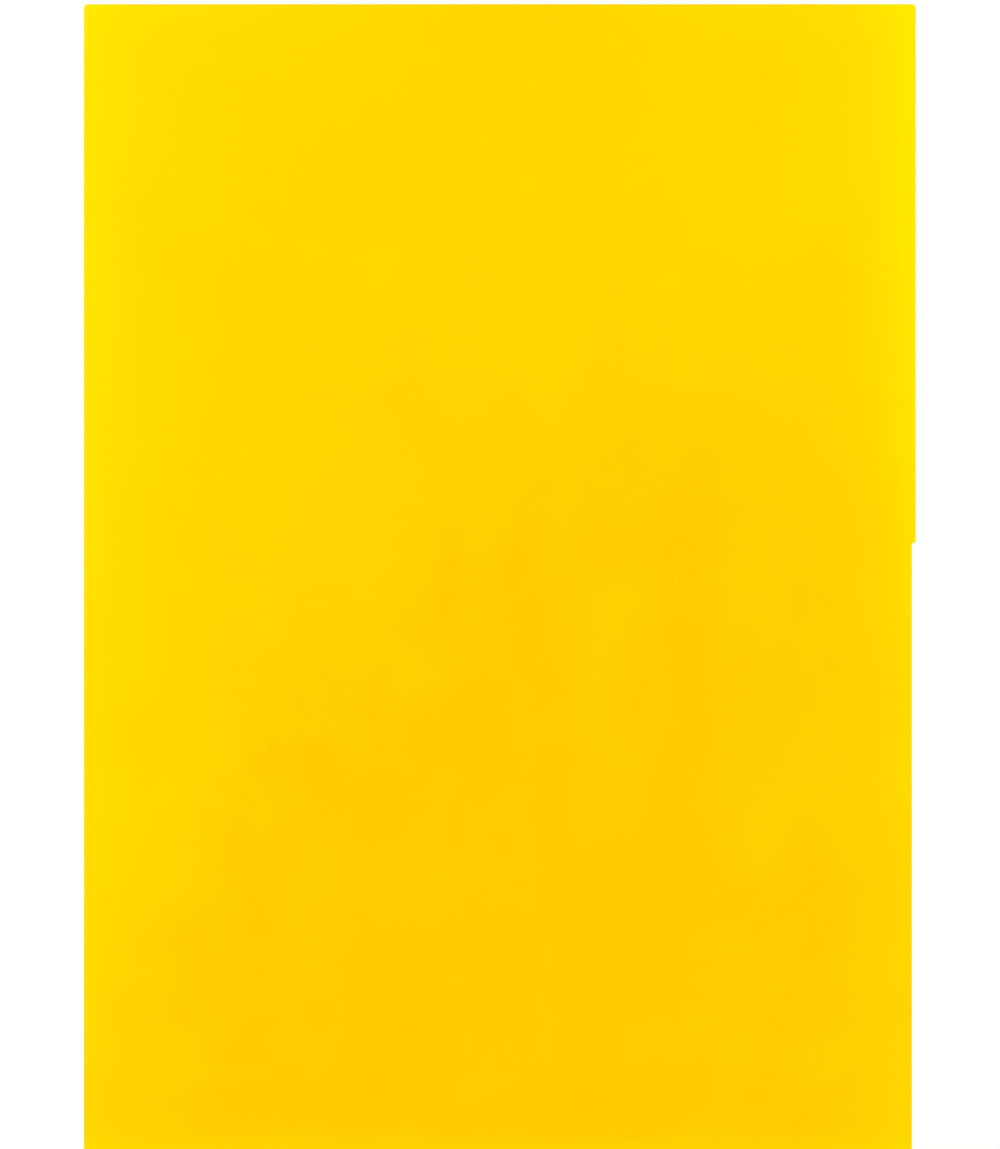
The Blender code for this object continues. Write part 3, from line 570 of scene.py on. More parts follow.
def swept_sheet(rows, thickness):
    """A sheet through a grid of points, thickened by half to each side and closed at its edges."""
    columns = len(rows[0])
    mesh = bpy.data.meshes.new("sheet")
    points = [point for row in rows for point in row]
    faces = [
        (start, start + 1, start + columns + 1, start + columns)
        for line in range(len(rows) - 1)
        for start in range(line * columns, (line + 1) * columns - 1)
    ]
    mesh.from_pydata(points, [], faces)
    obj = working(tidied(mesh))
    solidify = obj.modifiers.new("Thickness", "SOLIDIFY")
    solidify.thickness, solidify.offset = thickness, 0
    return tidied(plain_mesh(obj))


print("helpers", settle.__name__, tidied.__name__, swept_sheet.__name__)

# %% [markdown]
# ## The film
# The film hangs in its pockets: it can't move where the strips are welded on, and between them
# it has a hair of slack. A cloth simulation finds that shape. A coarse grid of the sheet grows
# by a few parts in ten thousand, held at the welds, so it bellies out by a few millimetres in
# soft uneven pillows. The fine sheet then takes its depth from the simulated one. That keeps
# the cut outline exact: straight edges, two small round corners, and the step at the right.


# %% Simulated slack
CELL = 0.025
WELD_REACH = 0.033  # from a tube's axis to the outer side of its pocket's weld
SLACK_LIMIT = 0.0045
SLACK_FRAMES = 24


def held_by_pocket(x, z):
    beside_upright = abs(abs(x) - UPRIGHT_X) < WELD_REACH
    beside_rail = min(abs(z - TOP_RAIL_Z), abs(z - BOTTOM_RAIL_Z)) < WELD_REACH
    return beside_upright or beside_rail


def slack_grid():
    """How far the film stands in front of its flat place, as rows of numbers from a cloth run."""
    across = round(2 * HALF_WIDTH / CELL)
    up = round((film_high.z - film_low.z) / CELL)
    rows = []
    for line in range(up + 1):
        z = film_low.z + (film_high.z - film_low.z) * line / up
        row = []
        for step in range(across + 1):
            x = -HALF_WIDTH + 2 * HALF_WIDTH * step / across
            start = 0.0 if held_by_pocket(x, z) else 0.002 * noise.noise((3 * x, 2.2 * z, 5.0))
            row.append((x, start, z))
        rows.append(row)
    mesh = bpy.data.meshes.new("slack")
    columns = across + 1
    faces = [
        (start, start + 1, start + columns + 1, start + columns)
        for line in range(up)
        for start in range(line * columns, (line + 1) * columns - 1)
    ]
    mesh.from_pydata([point for row in rows for point in row], [], faces)
    sheet = working(mesh, "slack")
    held = sheet.vertex_groups.new(name="held")
    fixed = [v.index for v in mesh.vertices if held_by_pocket(v.co.x, v.co.z)]
    held.add(fixed, 1.0, "REPLACE")
    cloth = sheet.modifiers.new("Cloth", "CLOTH")
    cloth.settings.vertex_group_mass = "held"
    cloth.settings.mass = 0.0008
    cloth.settings.quality = 8
    cloth.settings.tension_stiffness = cloth.settings.compression_stiffness = 60
    cloth.settings.shear_stiffness = 30
    cloth.settings.bending_stiffness = 4
    cloth.settings.shrink_min = -0.0006
    cloth.settings.effector_weights.gravity = 0.4
    cloth.point_cache.frame_start, cloth.point_cache.frame_end = 1, SLACK_FRAMES
    for step in range(1, SLACK_FRAMES + 1):
        bpy.context.scene.frame_set(step)
    bpy.context.view_layer.update()
    settled = sheet.evaluated_get(bpy.context.evaluated_depsgraph_get()).to_mesh()
    depths = [v.co.y for v in settled.vertices]
    sheet.modifiers.clear()
    bpy.data.objects.remove(sheet)
    bpy.context.scene.frame_set(1)
    soft = [SLACK_LIMIT * math.tanh(depth / SLACK_LIMIT) for depth in depths]
    return [soft[line * columns:(line + 1) * columns] for line in range(up + 1)]


slack = slack_grid()
deepest = max(abs(depth) for row in slack for depth in row)
print(f"slack up to {1000 * deepest:.2f} mm over {len(slack)} x {len(slack[0])} points")


# %% The cut sheet
def slack_at(x, z):
    """The simulated depth at a place, smoothed between the grid's points. Never into the frame."""
    column = (x + HALF_WIDTH) / CELL
    line = (z - film_low.z) / CELL
    i = min(max(int(column), 0), len(slack[0]) - 2)
    j = min(max(int(line), 0), len(slack) - 2)
    u, v = column - i, line - j
    u, v = u * u * (3 - 2 * u), v * v * (3 - 2 * v)
    lower = slack[j][i] * (1 - u) + slack[j][i + 1] * u
    upper = slack[j + 1][i] * (1 - u) + slack[j + 1][i + 1] * u
    return lower * (1 - v) + upper * v


def grid_lines(low, high, step, extra):
    """Evenly spaced values from low to high, with extra ones added where the outline needs them."""
    count = round((high - low) / step)
    even = [low + (high - low) * index / count for index in range(count + 1)]
    kept = [value for value in even if all(abs(value - other) > step * 0.4 for other in extra)]
    return sorted({low, high, *kept, *extra})


def rounded_corner(x, z):
    """Moves a point in an upper corner's square onto the corner's arc."""
    across = abs(x) - (HALF_WIDTH - CORNER_RADIUS)
    up = z - (film_high.z - CORNER_RADIUS)
    if across <= 0 or up <= 0:
        return x, z
    share = max(across, up) / math.hypot(across, up)
    side = math.copysign(1, x)
    inner_x, inner_z = HALF_WIDTH - CORNER_RADIUS, film_high.z - CORNER_RADIUS
    return side * (inner_x + across * share), inner_z + up * share


FINE = 0.010
STEP_HEIGHT = 0.0004  # the step is cut square, within a row of this height
corner_cells = [CORNER_RADIUS * (1 - share) for share in (1, 0.66, 0.33, 0)]
step_z = JOINT_Z
columns_x = grid_lines(
    -HALF_WIDTH,
    HALF_WIDTH,
    FINE,
    [side * (HALF_WIDTH - inset) for side in (-1, 1) for inset in corner_cells],
)
rows_z = grid_lines(
    film_low.z,
    film_high.z,
    FINE,
    [step_z - STEP_HEIGHT, step_z, *[film_high.z - inset for inset in corner_cells]],
)
film_rows = []
for z in rows_z:
    film_row = []
    for x in columns_x:
        cut_x, cut_z = rounded_corner(x, z)
        inner = HALF_WIDTH - 2 * EDGE_STEP
        if z < step_z - STEP_HEIGHT / 2 and x > inner:
            cut_x = inner + (x - inner) / 2  # the last columns close up into the step
        film_row.append((cut_x, middle("curtain_film").y + slack_at(x, z), cut_z))
    film_rows.append(film_row)
film = settle(
    "yellow_film", swept_sheet(film_rows, FILM), film_yellow, "screen", "curtain_film",
    ["curtain_film"], smooth=60,
)
print("film triangles", sum(len(face.vertices) - 2 for face in film.data.polygons))

# %% [markdown]
# ## Shape helpers
# Most of the hardware is turned, drawn or pressed, so four helpers cover it. *Eased* rounds the
# corners of an outline, because nothing made of metal or plastic has perfectly sharp ones.
# *Turned* spins an outline about Z. *Lofted* stacks closed outlines into a solid, and *pressed*
# is a lofted plate with slightly rounded rims. What they make is cut with exact Booleans.


# %% Eased outlines
def eased(points, closed=False, steps=4):
    """An outline whose corners are rounded. A third number on a point is how far back it starts."""
    made = []
    count = len(points)
    for index, point in enumerate(points):
        here = Vector(point[:2])
        at_end = not closed and index in (0, count - 1)
        if len(point) == 2 or at_end or not point[2]:
            made.append(tuple(here))
            continue
        before, after = Vector(points[index - 1][:2]), Vector(points[(index + 1) % count][:2])
        start = here + (before - here).normalized() * point[2]
        stop = here + (after - here).normalized() * point[2]
        for step in range(steps + 1):
            share = step / steps
            bent = start * (1 - share) ** 2 + here * 2 * share * (1 - share) + stop * share**2
            made.append(tuple(bent))
    return made


def arc(centre, radius, first, last, steps):
    angles = [math.radians(first + (last - first) * step / steps) for step in range(steps + 1)]
    return [(centre[0] + radius * math.cos(a), centre[1] + radius * math.sin(a)) for a in angles]


def rounded_square(half, radius, steps=5):
    inner = half - radius
    corners = [(inner, inner, 0), (-inner, inner, 90), (-inner, -inner, 180), (inner, -inner, 270)]
    return [
        point for x, y, turn in corners
        for point in arc((x, y), radius, turn, turn + 90, steps)
    ]


print("helpers", eased.__name__, arc.__name__, rounded_square.__name__)

# %% Turned and lofted solids
def turned(profile, sides=64, radius_at=None):
    """A solid turned about Z, from (radius, height) pairs that run down its outside."""
    rings, points, faces = [], [], []
    for radius, height in profile:
        if radius < 1e-7:
            rings.append([len(points)] * sides)
            points.append((0, 0, height))
            continue
        rings.append(list(range(len(points), len(points) + sides)))
        for step in range(sides):
            angle = 2 * math.pi * step / sides
            reach = radius + (radius_at(angle, height) if radius_at else 0)
            points.append((reach * math.cos(angle), reach * math.sin(angle), height))
    open_ended = profile[0][0] > 1e-7
    pairs = list(zip(rings, rings[1:])) + ([(rings[-1], rings[0])] if open_ended else [])
    for upper, lower in pairs:
        for step in range(sides):
            after = (step + 1) % sides
            corners = [upper[step], lower[step], lower[after], upper[after]]
            unique = list(dict.fromkeys(corners))
            if len(unique) > 2:
                faces.append(unique)
    mesh = bpy.data.meshes.new("turned")
    mesh.from_pydata(points, [], faces)
    return tidied(mesh)


def lofted(sections):
    """A solid through closed outlines of as many points each, given as (outline, height)."""
    count = len(sections[0][0])
    points = [(x, y, height) for outline, height in sections for x, y in outline]
    faces = [tuple(range(count)), tuple(range(len(points) - count, len(points)))]
    for level in range(len(sections) - 1):
        base = level * count
        for step in range(count):
            after = (step + 1) % count
            faces.append((base + step, base + after, base + count + after, base + count + step))
    mesh = bpy.data.meshes.new("lofted")
    mesh.from_pydata(points, [], faces)
    return tidied(mesh, weld=1e-7)


def inset(outline, distance):
    """The outline moved inwards, for outlines that run counterclockwise."""
    made = []
    for index, point in enumerate(outline):
        before, after = Vector(outline[index - 1]), Vector(outline[(index + 1) % len(outline)])
        along = (after - before).normalized()
        made.append((point[0] - along.y * distance, point[1] + along.x * distance))
    return made


def pressed(outline, low, high, rim=0.0003):
    """A plate with its outline in XY, its faces at two heights and its rims rounded."""
    small = inset(outline, rim)
    middle_step = inset(outline, rim * 0.3)
    return lofted([
        (small, low), (middle_step, low + rim * 0.3), (outline, low + rim),
        (outline, high - rim), (middle_step, high - rim * 0.3), (small, high),
    ])


print("helpers", turned.__name__, lofted.__name__)

# %% Placing and cutting
UP_TO_X = Matrix(((0, 0, 1, 0), (1, 0, 0, 0), (0, 1, 0, 0), (0, 0, 0, 1)))  # Z becomes X
ON_EDGE = Matrix.Rotation(math.radians(90), 4, "X")  # an XY outline stands in XZ


def shifted(mesh, *matrices):
    """A copy of the mesh under these matrices, the first one applied first."""
    copy = mesh.copy()
    for matrix in matrices:
        copy.transform(matrix)
    return copy


def at(x, y, z):
    return Matrix.Translation((x, y, z))


def facing(direction):
    return Vector(direction).to_track_quat("Z", "Y").to_matrix().to_4x4()


def rod(radius, start, end, sides=48, rim=0.0):
    start, end = Vector(start), Vector(end)
    length = (end - start).length
    profile = [(0, length), (radius, length, rim), (radius, 0, rim), (0, 0)]
    return shifted(turned(eased(profile, steps=3), sides), facing(end - start), at(*start))


def boolean(mesh, tools, operation):
    """The mesh after exact Booleans with these tool meshes, one after another."""
    for tool_mesh in tools:
        base, tool = working(mesh), working(tool_mesh)
        modifier = base.modifiers.new("Boolean", "BOOLEAN")
        modifier.operation, modifier.object, modifier.solver = operation, tool, "EXACT"
        mesh = tidied(plain_mesh(base))
        bpy.data.objects.remove(tool)
    return mesh


def merged(*meshes):
    """Several meshes as one, each still a closed shell of its own."""
    shape = bmesh.new()
    for mesh in meshes:
        shape.from_mesh(mesh)
    mesh = bpy.data.meshes.new("merged")
    shape.to_mesh(mesh)
    shape.free()
    return mesh


print("helpers", shifted.__name__, rod.__name__, boolean.__name__)

# %% [markdown]
# ## Repeats
# Two Geometry Nodes trees make what repeats. *Row* sets copies of a small shape along a line, and
# *ring* turns them about Z, from a first angle by even steps. Both can vary the size of each
# copy a little from a fixed seed,
# because no two weld spots are alike. Each result becomes a plain mesh straight away.


# %% Row and ring trees
def repeat_tree(kind):
    tree = bpy.data.node_groups.new(kind, "GeometryNodeTree")
    face = tree.interface
    face.new_socket("Geometry", in_out="INPUT", socket_type="NodeSocketGeometry")
    face.new_socket("Count", in_out="INPUT", socket_type="NodeSocketInt")
    face.new_socket("Start", in_out="INPUT", socket_type="NodeSocketVector")
    face.new_socket("Offset", in_out="INPUT", socket_type="NodeSocketVector")
    face.new_socket("First", in_out="INPUT", socket_type="NodeSocketFloat")
    face.new_socket("Step", in_out="INPUT", socket_type="NodeSocketFloat")
    face.new_socket("Variation", in_out="INPUT", socket_type="NodeSocketFloat")
    face.new_socket("Seed", in_out="INPUT", socket_type="NodeSocketInt")
    face.new_socket("Material", in_out="INPUT", socket_type="NodeSocketMaterial")
    face.new_socket("Geometry", in_out="OUTPUT", socket_type="NodeSocketGeometry")
    nodes, links = tree.nodes, tree.links
    given, out = nodes.new("NodeGroupInput"), nodes.new("NodeGroupOutput")
    instances = nodes.new("GeometryNodeInstanceOnPoints")
    if kind == "row":
        points = nodes.new("GeometryNodeMeshLine")
        links.new(given.outputs["Start"], points.inputs["Start Location"])
        links.new(given.outputs["Offset"], points.inputs["Offset"])
        links.new(given.outputs["Count"], points.inputs["Count"])
    else:
        points = nodes.new("GeometryNodeMeshLine")
        links.new(given.outputs["Count"], points.inputs["Count"])
        points.inputs["Offset"].default_value = (0, 0, 0)
        number = nodes.new("GeometryNodeInputIndex")
        turn = nodes.new("ShaderNodeMath")
        turn.operation = "MULTIPLY_ADD"
        links.new(number.outputs[0], turn.inputs[0])
        links.new(given.outputs["Step"], turn.inputs[1])
        links.new(given.outputs["First"], turn.inputs[2])
        about_z = nodes.new("ShaderNodeCombineXYZ")
        links.new(turn.outputs[0], about_z.inputs["Z"])
        links.new(about_z.outputs[0], instances.inputs["Rotation"])
    size = nodes.new("FunctionNodeRandomValue")
    size.data_type = "FLOAT"
    smallest = nodes.new("ShaderNodeMath")
    smallest.operation = "SUBTRACT"
    smallest.inputs[0].default_value = 1.0
    links.new(given.outputs["Variation"], smallest.inputs[1])
    links.new(smallest.outputs[0], size.inputs[2])
    size.inputs[3].default_value = 1.0
    links.new(given.outputs["Seed"], size.inputs["Seed"])
    links.new(points.outputs[0], instances.inputs["Points"])
    links.new(given.outputs["Geometry"], instances.inputs["Instance"])
    links.new(size.outputs[1], instances.inputs["Scale"])
    real, paint = nodes.new("GeometryNodeRealizeInstances"), nodes.new("GeometryNodeSetMaterial")
    links.new(instances.outputs[0], real.inputs[0])
    links.new(real.outputs[0], paint.inputs["Geometry"])
    links.new(given.outputs["Material"], paint.inputs["Material"])
    links.new(paint.outputs[0], out.inputs[0])
    return tree


repeats = {kind: repeat_tree(kind) for kind in ("row", "ring")}


def repeated(kind, mesh, material, **values):
    """The small mesh repeated by one of the two trees, as a plain mesh."""
    obj = working(mesh)
    modifier = obj.modifiers.new("Repeat", "NODES")
    modifier.node_group = repeats[kind]
    values["Material"] = material
    for socket in repeats[kind].interface.items_tree:
        if socket.in_out == "INPUT" and socket.name in values:
            modifier[socket.identifier] = values[socket.name]
    obj.update_tag()
    return plain_mesh(obj)


def blob(width, length, height, sides=10, rings=5):
    """A low domed pad on the XY plane: a weld spot or a moulded pip."""
    profile = arc((0, 0), 1, 90, 0, rings)
    shape = turned([(x, y) for x, y in profile] + [(0, 0)], sides)
    return shifted(shape, Matrix.Diagonal((width / 2, length / 2, height, 1)))


print("helpers", repeat_tree.__name__, repeated.__name__)

# %% [markdown]
# ## Pocket strips
# Each pocket is a strip of the same film, wrapped round the tube from behind and welded flat to
# the sheet on both sides of it. High-frequency welding leaves a knurled line of small pressed
# spots, so each weld carries a row of them. Between the welds and the tube the strip runs free
# and waves very slightly.

# %% Pocket sections
FLANGE = 0.011
FLANGE_Y = FILM_BACK + GAP + FILM / 2
LEAVING = extent("top_pocket").z / 2 - FLANGE
WRAP = TUBE + GAP + FILM / 2


def pocket_section():
    """The strip's section: across in X, away from the film in Y, round a tube at the origin."""
    reach = math.hypot(FLANGE_Y, LEAVING)
    tangent = math.degrees(math.atan2(LEAVING, FLANGE_Y) - math.acos(WRAP / reach))
    wrap = [(across, away) for away, across in arc((0, 0), WRAP, tangent, -tangent, 28)]
    near, far = (LEAVING, FLANGE_Y), (LEAVING + FLANGE, FLANGE_Y)
    first = wrap[0]
    web = [tuple(Vector(near).lerp(Vector(first), share)) for share in (0.33, 0.66)]
    path = [far, ((near[0] + far[0]) / 2, FLANGE_Y), (*near, 0.0012), *web, *wrap]
    path += [(-x, y) for x, y in reversed(web)]
    path += [(-near[0], near[1], 0.0012), (-(near[0] + far[0]) / 2, FLANGE_Y), (-far[0], FLANGE_Y)]
    return eased(path)


SECTION = pocket_section()


def pocket_strip(node, upright):
    """One strip along X or Z with its weld spots."""
    low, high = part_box(node)
    centre, length = (low + high) / 2, (high.z - low.z) if upright else (high.x - low.x)
    axis = Vector((0, 0, 1)) if upright else Vector((1, 0, 0))
    side = Vector((1, 0, 0)) if upright else Vector((0, 0, 1))
    base = Vector((centre.x, 0, centre.z))
    steps = max(round(length / 0.012), 4)
    rows = []
    for step in range(steps + 1):
        along = (step / steps - 0.5) * length
        row = []
        for across, away in SECTION:
            free = max(0.0, 1 - abs(abs(across) - (LEAVING + WRAP) / 2) / 0.0045)
            if away < FLANGE_Y + 0.0008:
                free = 0.0
            place = base + axis * along + side * across
            wave = noise.noise((place.x * 22, across * 60, place.z * 22)) * 0.0002 * free
            spread = math.copysign(wave, across)
            row.append(tuple(place + side * spread + Vector((0, away, 0))))
        rows.append(row)
    strip = settle(
        f"{node}_strip", swept_sheet(rows, FILM), film_yellow, "screen", "curtain_film", [node],
        smooth=50,
    )
    spots = []
    pitch = 0.0042
    count = int((length - 0.006) / pitch)
    spot = blob(0.0076, 0.0026, 0.00038, sides=10, rings=3)
    if not upright:
        spot = shifted(spot, Matrix.Rotation(math.radians(90), 4, "Z"))
    spot = shifted(spot, Matrix.Rotation(math.radians(-90), 4, "X"))
    for flank in (-1, 1):
        middle_line = flank * (LEAVING + FLANGE / 2)
        start = base - axis * (count - 1) * pitch / 2 + side * middle_line
        start.y = FLANGE_Y + FILM / 2 - 0.00002
        spots.append(repeated(
            "row", spot, film_yellow, Count=count, Start=tuple(start),
            Offset=tuple(axis * pitch), Variation=0.10, Seed=11 + flank,
        ))
    weld = settle(f"{node}_weld", merged(*spots), film_yellow, "screen", "curtain_film")
    return len(strip.data.polygons), count


for pocket_node in ("top_pocket", "bottom_pocket"):
    print(pocket_node, pocket_strip(pocket_node, upright=False))
for side_name in SIDES:
    for level in ("lower", "upper"):
        print(side_name, level, pocket_strip(f"{side_name}_{level}_pocket", upright=True))

# %% [markdown]
# ## Tubes
# The frame is drawn steel tube, cut square with deburred ends and powder coated light grey. The
# holes are drilled before coating. The lower rail's ends are coped, which means milled to the
# uprights' curve, so that a bolt can pull the two together.


# %% Rails and uprights
WALL = 0.0015
SCREW_RADIUS = extent("left_rail_screw").x / 4
BUTTON_RADIUS = 0.004
CHAMFER = 0.0004


def round_tube(radius, wall, low, high, sides=72):
    """A tube along Z with deburred ends."""
    return turned(
        eased(
            [
                (radius, high, CHAMFER), (radius, low, CHAMFER),
                (radius - wall, low, CHAMFER), (radius - wall, high, CHAMFER),
            ],
            closed=True,
            steps=2,
        ),
        sides,
    )


def drilled(mesh, radius, *lines):
    return boolean(mesh, [rod(radius, start, end, 32) for start, end in lines], "DIFFERENCE")


def rear_hole(x, z):
    return (x, 0, z), (x, 2 * TUBE, z)


rail_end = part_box("top_rail")[1].x
top = shifted(round_tube(TUBE, WALL, -rail_end, rail_end), UP_TO_X, at(0, 0, TOP_RAIL_Z))
rail_screw_x = middle("right_rail_screw").x
top = drilled(top, SCREW_RADIUS + GAP, *[rear_hole(s * rail_screw_x, TOP_RAIL_Z) for s in (-1, 1)])
settle("top_rail_tube", top, grey_paint, "screen", "frame_paint", ["top_rail"])

low_rail = round_tube(TUBE, WALL, -UPRIGHT_X, UPRIGHT_X)
low_rail = shifted(low_rail, UP_TO_X, at(0, 0, BOTTOM_RAIL_Z))
copes = [
    rod(TUBE + GAP, (s * UPRIGHT_X, 0, BOTTOM_RAIL_Z - 0.03),
        (s * UPRIGHT_X, 0, BOTTOM_RAIL_Z + 0.03), 96)
    for s in (-1, 1)
]
low_rail = boolean(low_rail, copes, "DIFFERENCE")
settle("bottom_rail_tube", low_rail, grey_paint, "screen", "frame_paint", ["bottom_rail"])

BOLT_RADIUS = 0.003
button_z = middle("left_snap_button").z
upright_screw_z = middle("left_upright_screw").z
for side_name, side in SIDES.items():
    x = side * UPRIGHT_X
    low, high = (corner.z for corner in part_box(f"{side_name}_lower_upright"))
    post = shifted(round_tube(TUBE, WALL, low, high), at(x, 0, 0))
    post = drilled(
        post, BOLT_RADIUS + GAP, ((x - 0.02, 0, BOTTOM_RAIL_Z), (x + 0.02, 0, BOTTOM_RAIL_Z))
    )
    node = f"{side_name}_lower_upright"
    settle(f"{node}_tube", post, grey_paint, "screen", "frame_paint", [node])
    low, high = (corner.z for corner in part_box(f"{side_name}_upper_upright"))
    post = shifted(round_tube(TUBE, WALL, low, high), at(x, 0, 0))
    post = drilled(post, SCREW_RADIUS + GAP, rear_hole(x, upright_screw_z))
    post = drilled(post, BUTTON_RADIUS + GAP, rear_hole(x, button_z))
    node = f"{side_name}_upper_upright"
    settle(f"{node}_tube", post, grey_paint, "screen", "frame_paint", [node])

# %% [markdown]
# ## Corners and joints
# The corner elbows are moulded nylon, so a fine parting line runs round them in the plane of the
# frame. Their spigots go into the tubes and a screw holds each from behind. Where an upright's
# two tubes meet, a plated sleeve sits inside, with a hairpin spring that pushes a button out
# through both. Pressing the button lets the tubes slide apart.


# %% Elbows
def swept_bar(path, radius, sides=64, parting=0.0):
    """A round bar along a path in the XZ plane, with a thin parting line on both flanks."""
    points, faces = [], []
    for index, (x, z, swell) in enumerate(path):
        before, after = path[max(index - 1, 0)], path[min(index + 1, len(path) - 1)]
        along = Vector((after[0] - before[0], 0, after[1] - before[1])).normalized()
        aside = along.cross(Vector((0, 1, 0)))
        for step in range(sides):
            angle = 2 * math.pi * step / sides
            line = parting if step % (sides // 2) == 0 else 0.0
            reach = radius + swell + line
            spot = aside * math.cos(angle) * reach + Vector((0, 1, 0)) * math.sin(angle) * reach
            points.append((x + spot.x, spot.y, z + spot.z))
    for ring in range(len(path) - 1):
        base = ring * sides
        for step in range(sides):
            after = (step + 1) % sides
            faces.append((base + step, base + after, base + sides + after, base + sides + step))
    faces += [tuple(range(sides)), tuple(range(len(points) - sides, len(points)))]
    mesh = bpy.data.meshes.new("bar")
    mesh.from_pydata(points, [], faces)
    return tidied(mesh)


BEND = 0.018
LEG = UPRIGHT_X - GAP - rail_end
SPIGOT = TUBE - WALL - GAP


def corner_elbow(side):
    inward = -side
    bend = [(inward * (BEND + x), z - BEND) for x, z in arc((0, 0), BEND, 90, 180, 24)]
    rim = 0.0007
    ends = [(inward * LEG, 0, -rim), (inward * (LEG - rim * 0.3), 0, -rim * 0.3),
        (inward * (LEG - rim), 0, 0)]
    drop = [(0, -(LEG - rim), 0), (0, -(LEG - rim * 0.3), -rim * 0.3), (0, -LEG, -rim)]
    body = swept_bar(ends + [(x, z, 0) for x, z in bend] + drop, TUBE, parting=0.00012)
    _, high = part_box("left_corner_elbow")
    reach = high.x + UPRIGHT_X
    spigots = [
        rod(SPIGOT, (inward * (LEG - 0.004), 0, 0), (inward * reach, 0, 0), rim=0.001),
        rod(SPIGOT, (0, 0, -(LEG - 0.004)), (0, 0, -reach), rim=0.001),
    ]
    body = boolean(body, spigots, "UNION")
    hole = UPRIGHT_X - rail_screw_x
    tip = TUBE - 0.0103
    return drilled(
        body, SCREW_RADIUS + GAP,
        ((inward * hole, tip, 0), (inward * hole, 0.03, 0)), ((0, tip, -hole), (0, 0.03, -hole)),
    )


for side_name, side in SIDES.items():
    elbow = shifted(corner_elbow(side), at(side * UPRIGHT_X, 0, TOP_RAIL_Z))
    node = f"{side_name}_corner_elbow"
    settle(f"{node}_moulding", elbow, nylon, "screen", "black_nylon", [node], smooth=40)


# %% Screws, bolts and plugs
def cross_recess(depth, width=0.0008, reach=0.0022):
    """A cutter for a cross slot, its deepest point at -depth under the origin."""
    blade = lofted([
        ([(-width * 0.3, -reach * 0.3), (width * 0.3, -reach * 0.3), (width * 0.3, reach * 0.3),
            (-width * 0.3, reach * 0.3)], -depth),
        ([(-width / 2, -reach), (width / 2, -reach), (width / 2, reach), (-width / 2, reach)],
            0.0006),
    ])
    return [blade, shifted(blade, Matrix.Rotation(math.radians(90), 4, "Z"))]


def pan_screw():
    radius, head = SCREW_RADIUS, 2 * SCREW_RADIUS
    top_z = 1.2 * radius
    thread = []
    turns = 12
    for step in range(turns):
        z = -0.0006 - step * 0.0075 / turns
        thread += [(radius, z), (radius * 0.84, z - 0.0003)]
    profile = [
        (0, top_z), (0.55 * head, 1.12 * radius, 0.0008), (head, 0.55 * radius, 0.0006),
        (head, 0, 0.0002), (radius, 0), *thread, (0.5 * radius, -0.0092, 0.0003), (0, -0.0100),
    ]
    screw = turned(eased(profile, steps=4), 40)
    return boolean(screw, [shifted(c, at(0, 0, top_z)) for c in cross_recess(0.0014)], "DIFFERENCE")


def button_bolt():
    radius, head = BOLT_RADIUS, 1.85 * BOLT_RADIUS
    reach = extent("left_rail_bolt").x - 1.1 * radius
    dome = [(0, 1.1 * radius), (0.5 * head, 1.04 * radius), (0.8 * head, 0.75 * radius)]
    profile = [*dome, (head, 0.35 * radius, 0.0003), (head, 0, 0.0002), (radius, 0),
        (radius, -reach + 0.001, 0.0003), (0.7 * radius, -reach), (0, -reach)]
    bolt = turned(eased(profile, steps=4), 48)
    hexagon = arc((0, 0), 0.0023, 0, 300, 5)
    socket = lofted([(hexagon, 0.0012), (hexagon, 0.006)])
    return boolean(bolt, [socket], "DIFFERENCE")


screw, bolt = pan_screw(), button_bolt()
seat_y = TUBE + GAP
for side_name, side in SIDES.items():
    x = side * UPRIGHT_X
    for place, spot in {
        "rail_screw": (side * rail_screw_x, seat_y, TOP_RAIL_Z),
        "upright_screw": (x, seat_y, upright_screw_z),
    }.items():
        turn = Matrix.Rotation(math.radians(23 if place == "rail_screw" else 61), 4, "Z")
        node = f"{side_name}_{place}"
        settle(f"{node}_plated", shifted(screw, turn, facing((0, 1, 0)), at(*spot)), zinc, "screen",
            "zinc_plate", [node])
    node = f"{side_name}_rail_bolt"
    seat = at(side * (UPRIGHT_X + TUBE + GAP), 0, BOTTOM_RAIL_Z)
    settle(f"{node}_plated", shifted(bolt, facing((side, 0, 0)), seat), zinc, "screen",
        "zinc_plate", [node])
    node = f"{side_name}_rail_plug"
    low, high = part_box(node)
    plug = turned(eased([
        (SPIGOT, high.x - low.x, 0.0006), (SPIGOT, 0, 0.0006), (BOLT_RADIUS + GAP, 0, 0.0003),
        (BOLT_RADIUS + GAP, high.x - low.x, 0.0003),
    ], closed=True, steps=2), 64)
    settle(f"{node}_turned", shifted(plug, UP_TO_X, at(low.x, 0, BOTTOM_RAIL_Z)), zinc, "screen",
        "zinc_plate", [node])


